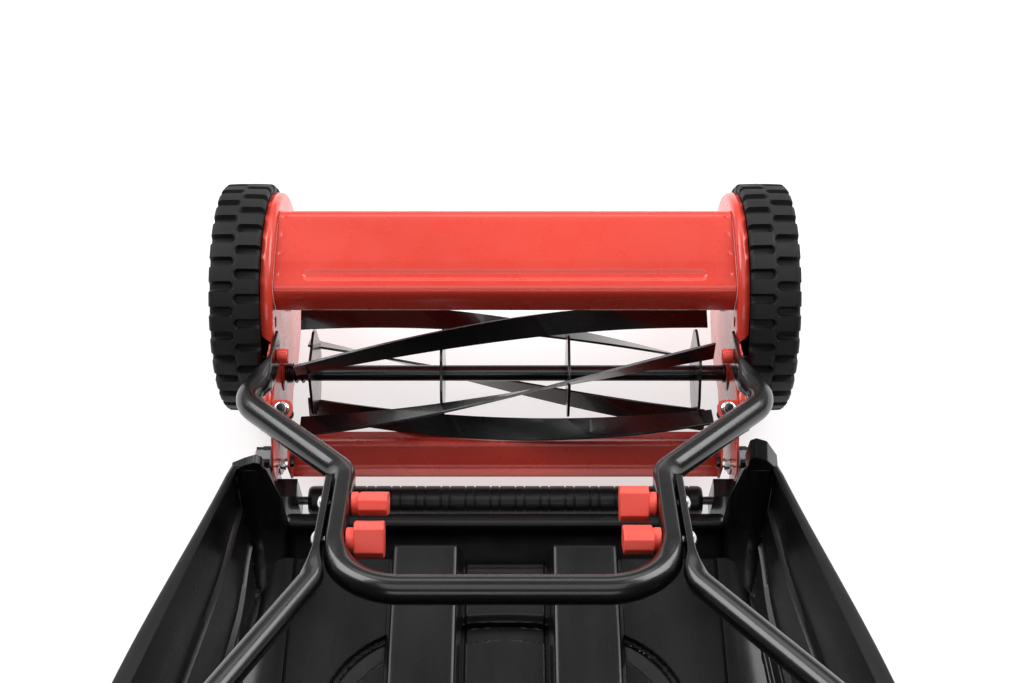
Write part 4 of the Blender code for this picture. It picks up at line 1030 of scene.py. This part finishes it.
def box_rim():
    """The flange round the top, with a lip turned down at its outer edge."""
    right = [(rim_x(y), y) for y in [-0.2 - 0.009 * i for i in range(31)] if y > BEND_Y]
    for i in range(13):
        a = pi / 2 * i / 12
        y = BEND_Y - CORNER_R * sin(a)
        right.append((rim_x(y) - CORNER_R * (1 - cos(a)), y))
    right += [(right[-1][0] * (1 - k / 8), BOX_REAR) for k in range(1, 8)]
    right = [(0.2125, -0.1995), (0.224, -0.1995)] + right
    path = [(-x, y) for x, y in right] + [(0, BOX_REAR)] + right[::-1]
    path = [Vector(p) for p in path]
    sections = []
    for i, p in enumerate(path):
        way = direction(path, i)
        width = 0.0062 + 0.007 * smooth_step(-0.2, -0.42, p.y)
        section = []
        for out, lift in ((-0.0006, -0.003), (-0.0004, -0.0004), (0.0012, 0.0004),
                          (width - 0.0016, 0.0004), (width - 0.0003, -0.0003),
                          (width, -0.0016), (width + 0.0004, -0.0085),
                          (width - 0.0016, -0.0085), (width - 0.0022, -0.0022),
                          (0.0012, -0.0022)):
            q = p + Vector((way.y, -way.x)) * out
            section.append(at(q.x, q.y, rim_z(q.y) + lift))
        sections.append(section)
    loft("box_rim", sections, BOX, "box", (), 35)


def box_lip():
    """The rounded bar across the front, and the trough between it and the floor, painted near-black
    as the shade in that gap.
    """
    turns = [tau * k / 40 for k in range(40)]
    ring = [(LIP_Y + LIP_R * signed_power(cos(a), 0.8), LIP_Z + LIP_R * signed_power(sin(a), 0.8))
            for a in turns]
    stations = [(-LIP_HALF + o, s) for o, s in LIP_ENDS]
    stations += [(LIP_HALF - o, s) for o, s in reversed(LIP_ENDS)]
    loft("box_lip", [[at(x, LIP_Y + (y - LIP_Y) * scale, LIP_Z + (z - LIP_Z) * scale)
                      for y, z in ring] for x, scale in stations],
         BOX, "box", (), 50)
    trough = [(-0.199, -0.091), (-0.202, -0.0965), (-0.206, TROUGH_Z), (-0.218, TROUGH_Z),
              (FLOOR_EDGE - PANEL_SETBACK - 0.002, TROUGH_Z)]
    half = FLOOR_HALF + 0.009
    bm = bmesh.new()
    skin(bm, [[at(-half + half * 2 * k / 40, p.x, p.y) for k in range(41)]
              for p in rounded_profile(trough, 0.003, 4)])
    # The trough's near-black plastic is painted shade for the gap.
    piece = link("box_trough", bm, TROUGH_SHADE, "box", sharp=40)
    modifier(piece, "SOLIDIFY", thickness=BOX_SKIN, offset=0)


def box_hook(word, side):
    """The raised hook at a front corner of the rim, which hangs on the roller's carrier."""
    top, lean = (0.0545, 0.0) if word == "left" else (0.072, 0.007)
    sections = []
    for y, crest in ((-0.1915 + lean, top), (-0.2, top - lean)):
        outline = soften([(0.2365, 0.0385), (0.224, crest - 0.006), (0.214, crest),
                          (0.209, crest - 0.004), (0.2085, 0.0385), (0.2365, 0.0385)],
                         0.0015)[:-1]
        sections.append([at(side * x, y, z) for x, z in outline])
    piece = loft("box_hook_" + word, sections, BOX, "box", (), 40)
    break_edges(piece, 0.0008, 3, 40)


# ---- stage, light and camera ----
AIM = (0, 0.2, 0.05)
# Area lights: (name, place, width, height, watts).
LIGHTS = (("overhead", (0, 0.1, 3.0), 2.4, 1.6, 16), ("behind_camera", (0, -2.2, 2.6), 2.4, 1.0, 13),
          ("front_box", (0, 2.8, 2.0), 2.4, 1.0, 14), ("left_box", (-1.9, 1.6, 2.0), 1.8, 1.8, 61),
          ("right_box", (1.9, 1.6, 2.0), 1.8, 1.8, 61))


def stage():
    bm = bmesh.new()
    bmesh.ops.create_grid(bm, x_segments=1, y_segments=1, size=6)
    floor = new_object("floor", mesh_of("floor", bm))
    m = Shader("floor_white", 0.7, specular=0.1)
    m.colour(m.noise(2, 2), (0.49, 0.49, 0.49), (0.51, 0.51, 0.51))
    set_inputs(m.main, {"Emission Color": (1, 1, 1, 1), "Emission Strength": 0.62})
    floor.data.materials.append(m.material)


def area_light(name, place, width, height, power):
    data = bpy.data.lights.new(name, "AREA")
    data.energy = power
    data.shape = "RECTANGLE"
    data.size, data.size_y = width, height
    lamp = new_object(name, data)
    lamp.location = place
    lamp.rotation_euler = (Vector(AIM) - Vector(place)).to_track_quat("-Z", "Y").to_euler()


def backdrop(world):
    """A studio that is bright ahead of the mower and dim behind the camera."""
    nodes, links = world.node_tree.nodes, world.node_tree.links
    background = nodes["Background"]
    set_inputs(background, {"Color": (1, 1, 1, 1)})
    split = nodes.new("ShaderNodeSeparateXYZ")
    links.new(nodes.new("ShaderNodeTexCoord").outputs["Generated"], split.inputs["Vector"])
    span = nodes.new("ShaderNodeMapRange")
    span.interpolation_type = "SMOOTHSTEP"
    set_inputs(span, {"From Min": -0.5, "From Max": 0.9, "To Min": 0.05, "To Max": 0.34})
    links.new(split.outputs["Y"], span.inputs["Value"])
    links.new(span.outputs["Result"], background.inputs["Strength"])


def light_and_camera():
    scene = bpy.context.scene
    scene.world = bpy.data.worlds.new("studio")
    scene.world.use_nodes = True
    backdrop(scene.world)
    for light in LIGHTS:
        area_light(*light)
    camera = bpy.data.cameras.new("camera")
    camera.lens = 53.58
    camera.sensor_width = 36
    holder = new_object("camera", camera)
    holder.location = at(0.0062, -0.7614, 1.2347)
    holder.rotation_euler = (radians(30), 0, 0)
    scene.camera = holder
    scene.view_settings.view_transform = "Standard"
    scene.view_settings.look = "None"
    scene.view_settings.exposure = 0.0


def repaint():
    """Node materials for the CAD pieces that keep their own shape."""
    by_slot = {"red_paint": RED, "red_plastic": KNOB_RED, "black_paint": TUBE,
               "black_plastic": MOULDED, "tread": TREAD, "steel": STEEL, "zinc": ZINC,
               "foam": FOAM}
    for entry in frame["record"]["subparts"]:
        mat = by_slot[entry["material_slot"]]
        if entry["node"].startswith(("bed_pivot", "roller_arm")):
            mat = BLADE
        if entry["node"] == "bed_knife":
            mat = RED
        for place in frame["nodes"][entry["node"]].material_slots:
            place.material = mat


def build():
    repaint()
    for word, side in SIDES:
        tyre(word, side)
        wheel(word, side)
        side_plate(word, side)
        pad(word, side)
    deflector()
    bed()
    reel()
    handle()
    roller()
    for word, side in SIDES:
        clamp_head(word, side)
    box_walls()
    box_floor()
    box_rim()
    box_lip()
    for word, side in SIDES:
        box_hook(word, side)
    stage()
    light_and_camera()


build()
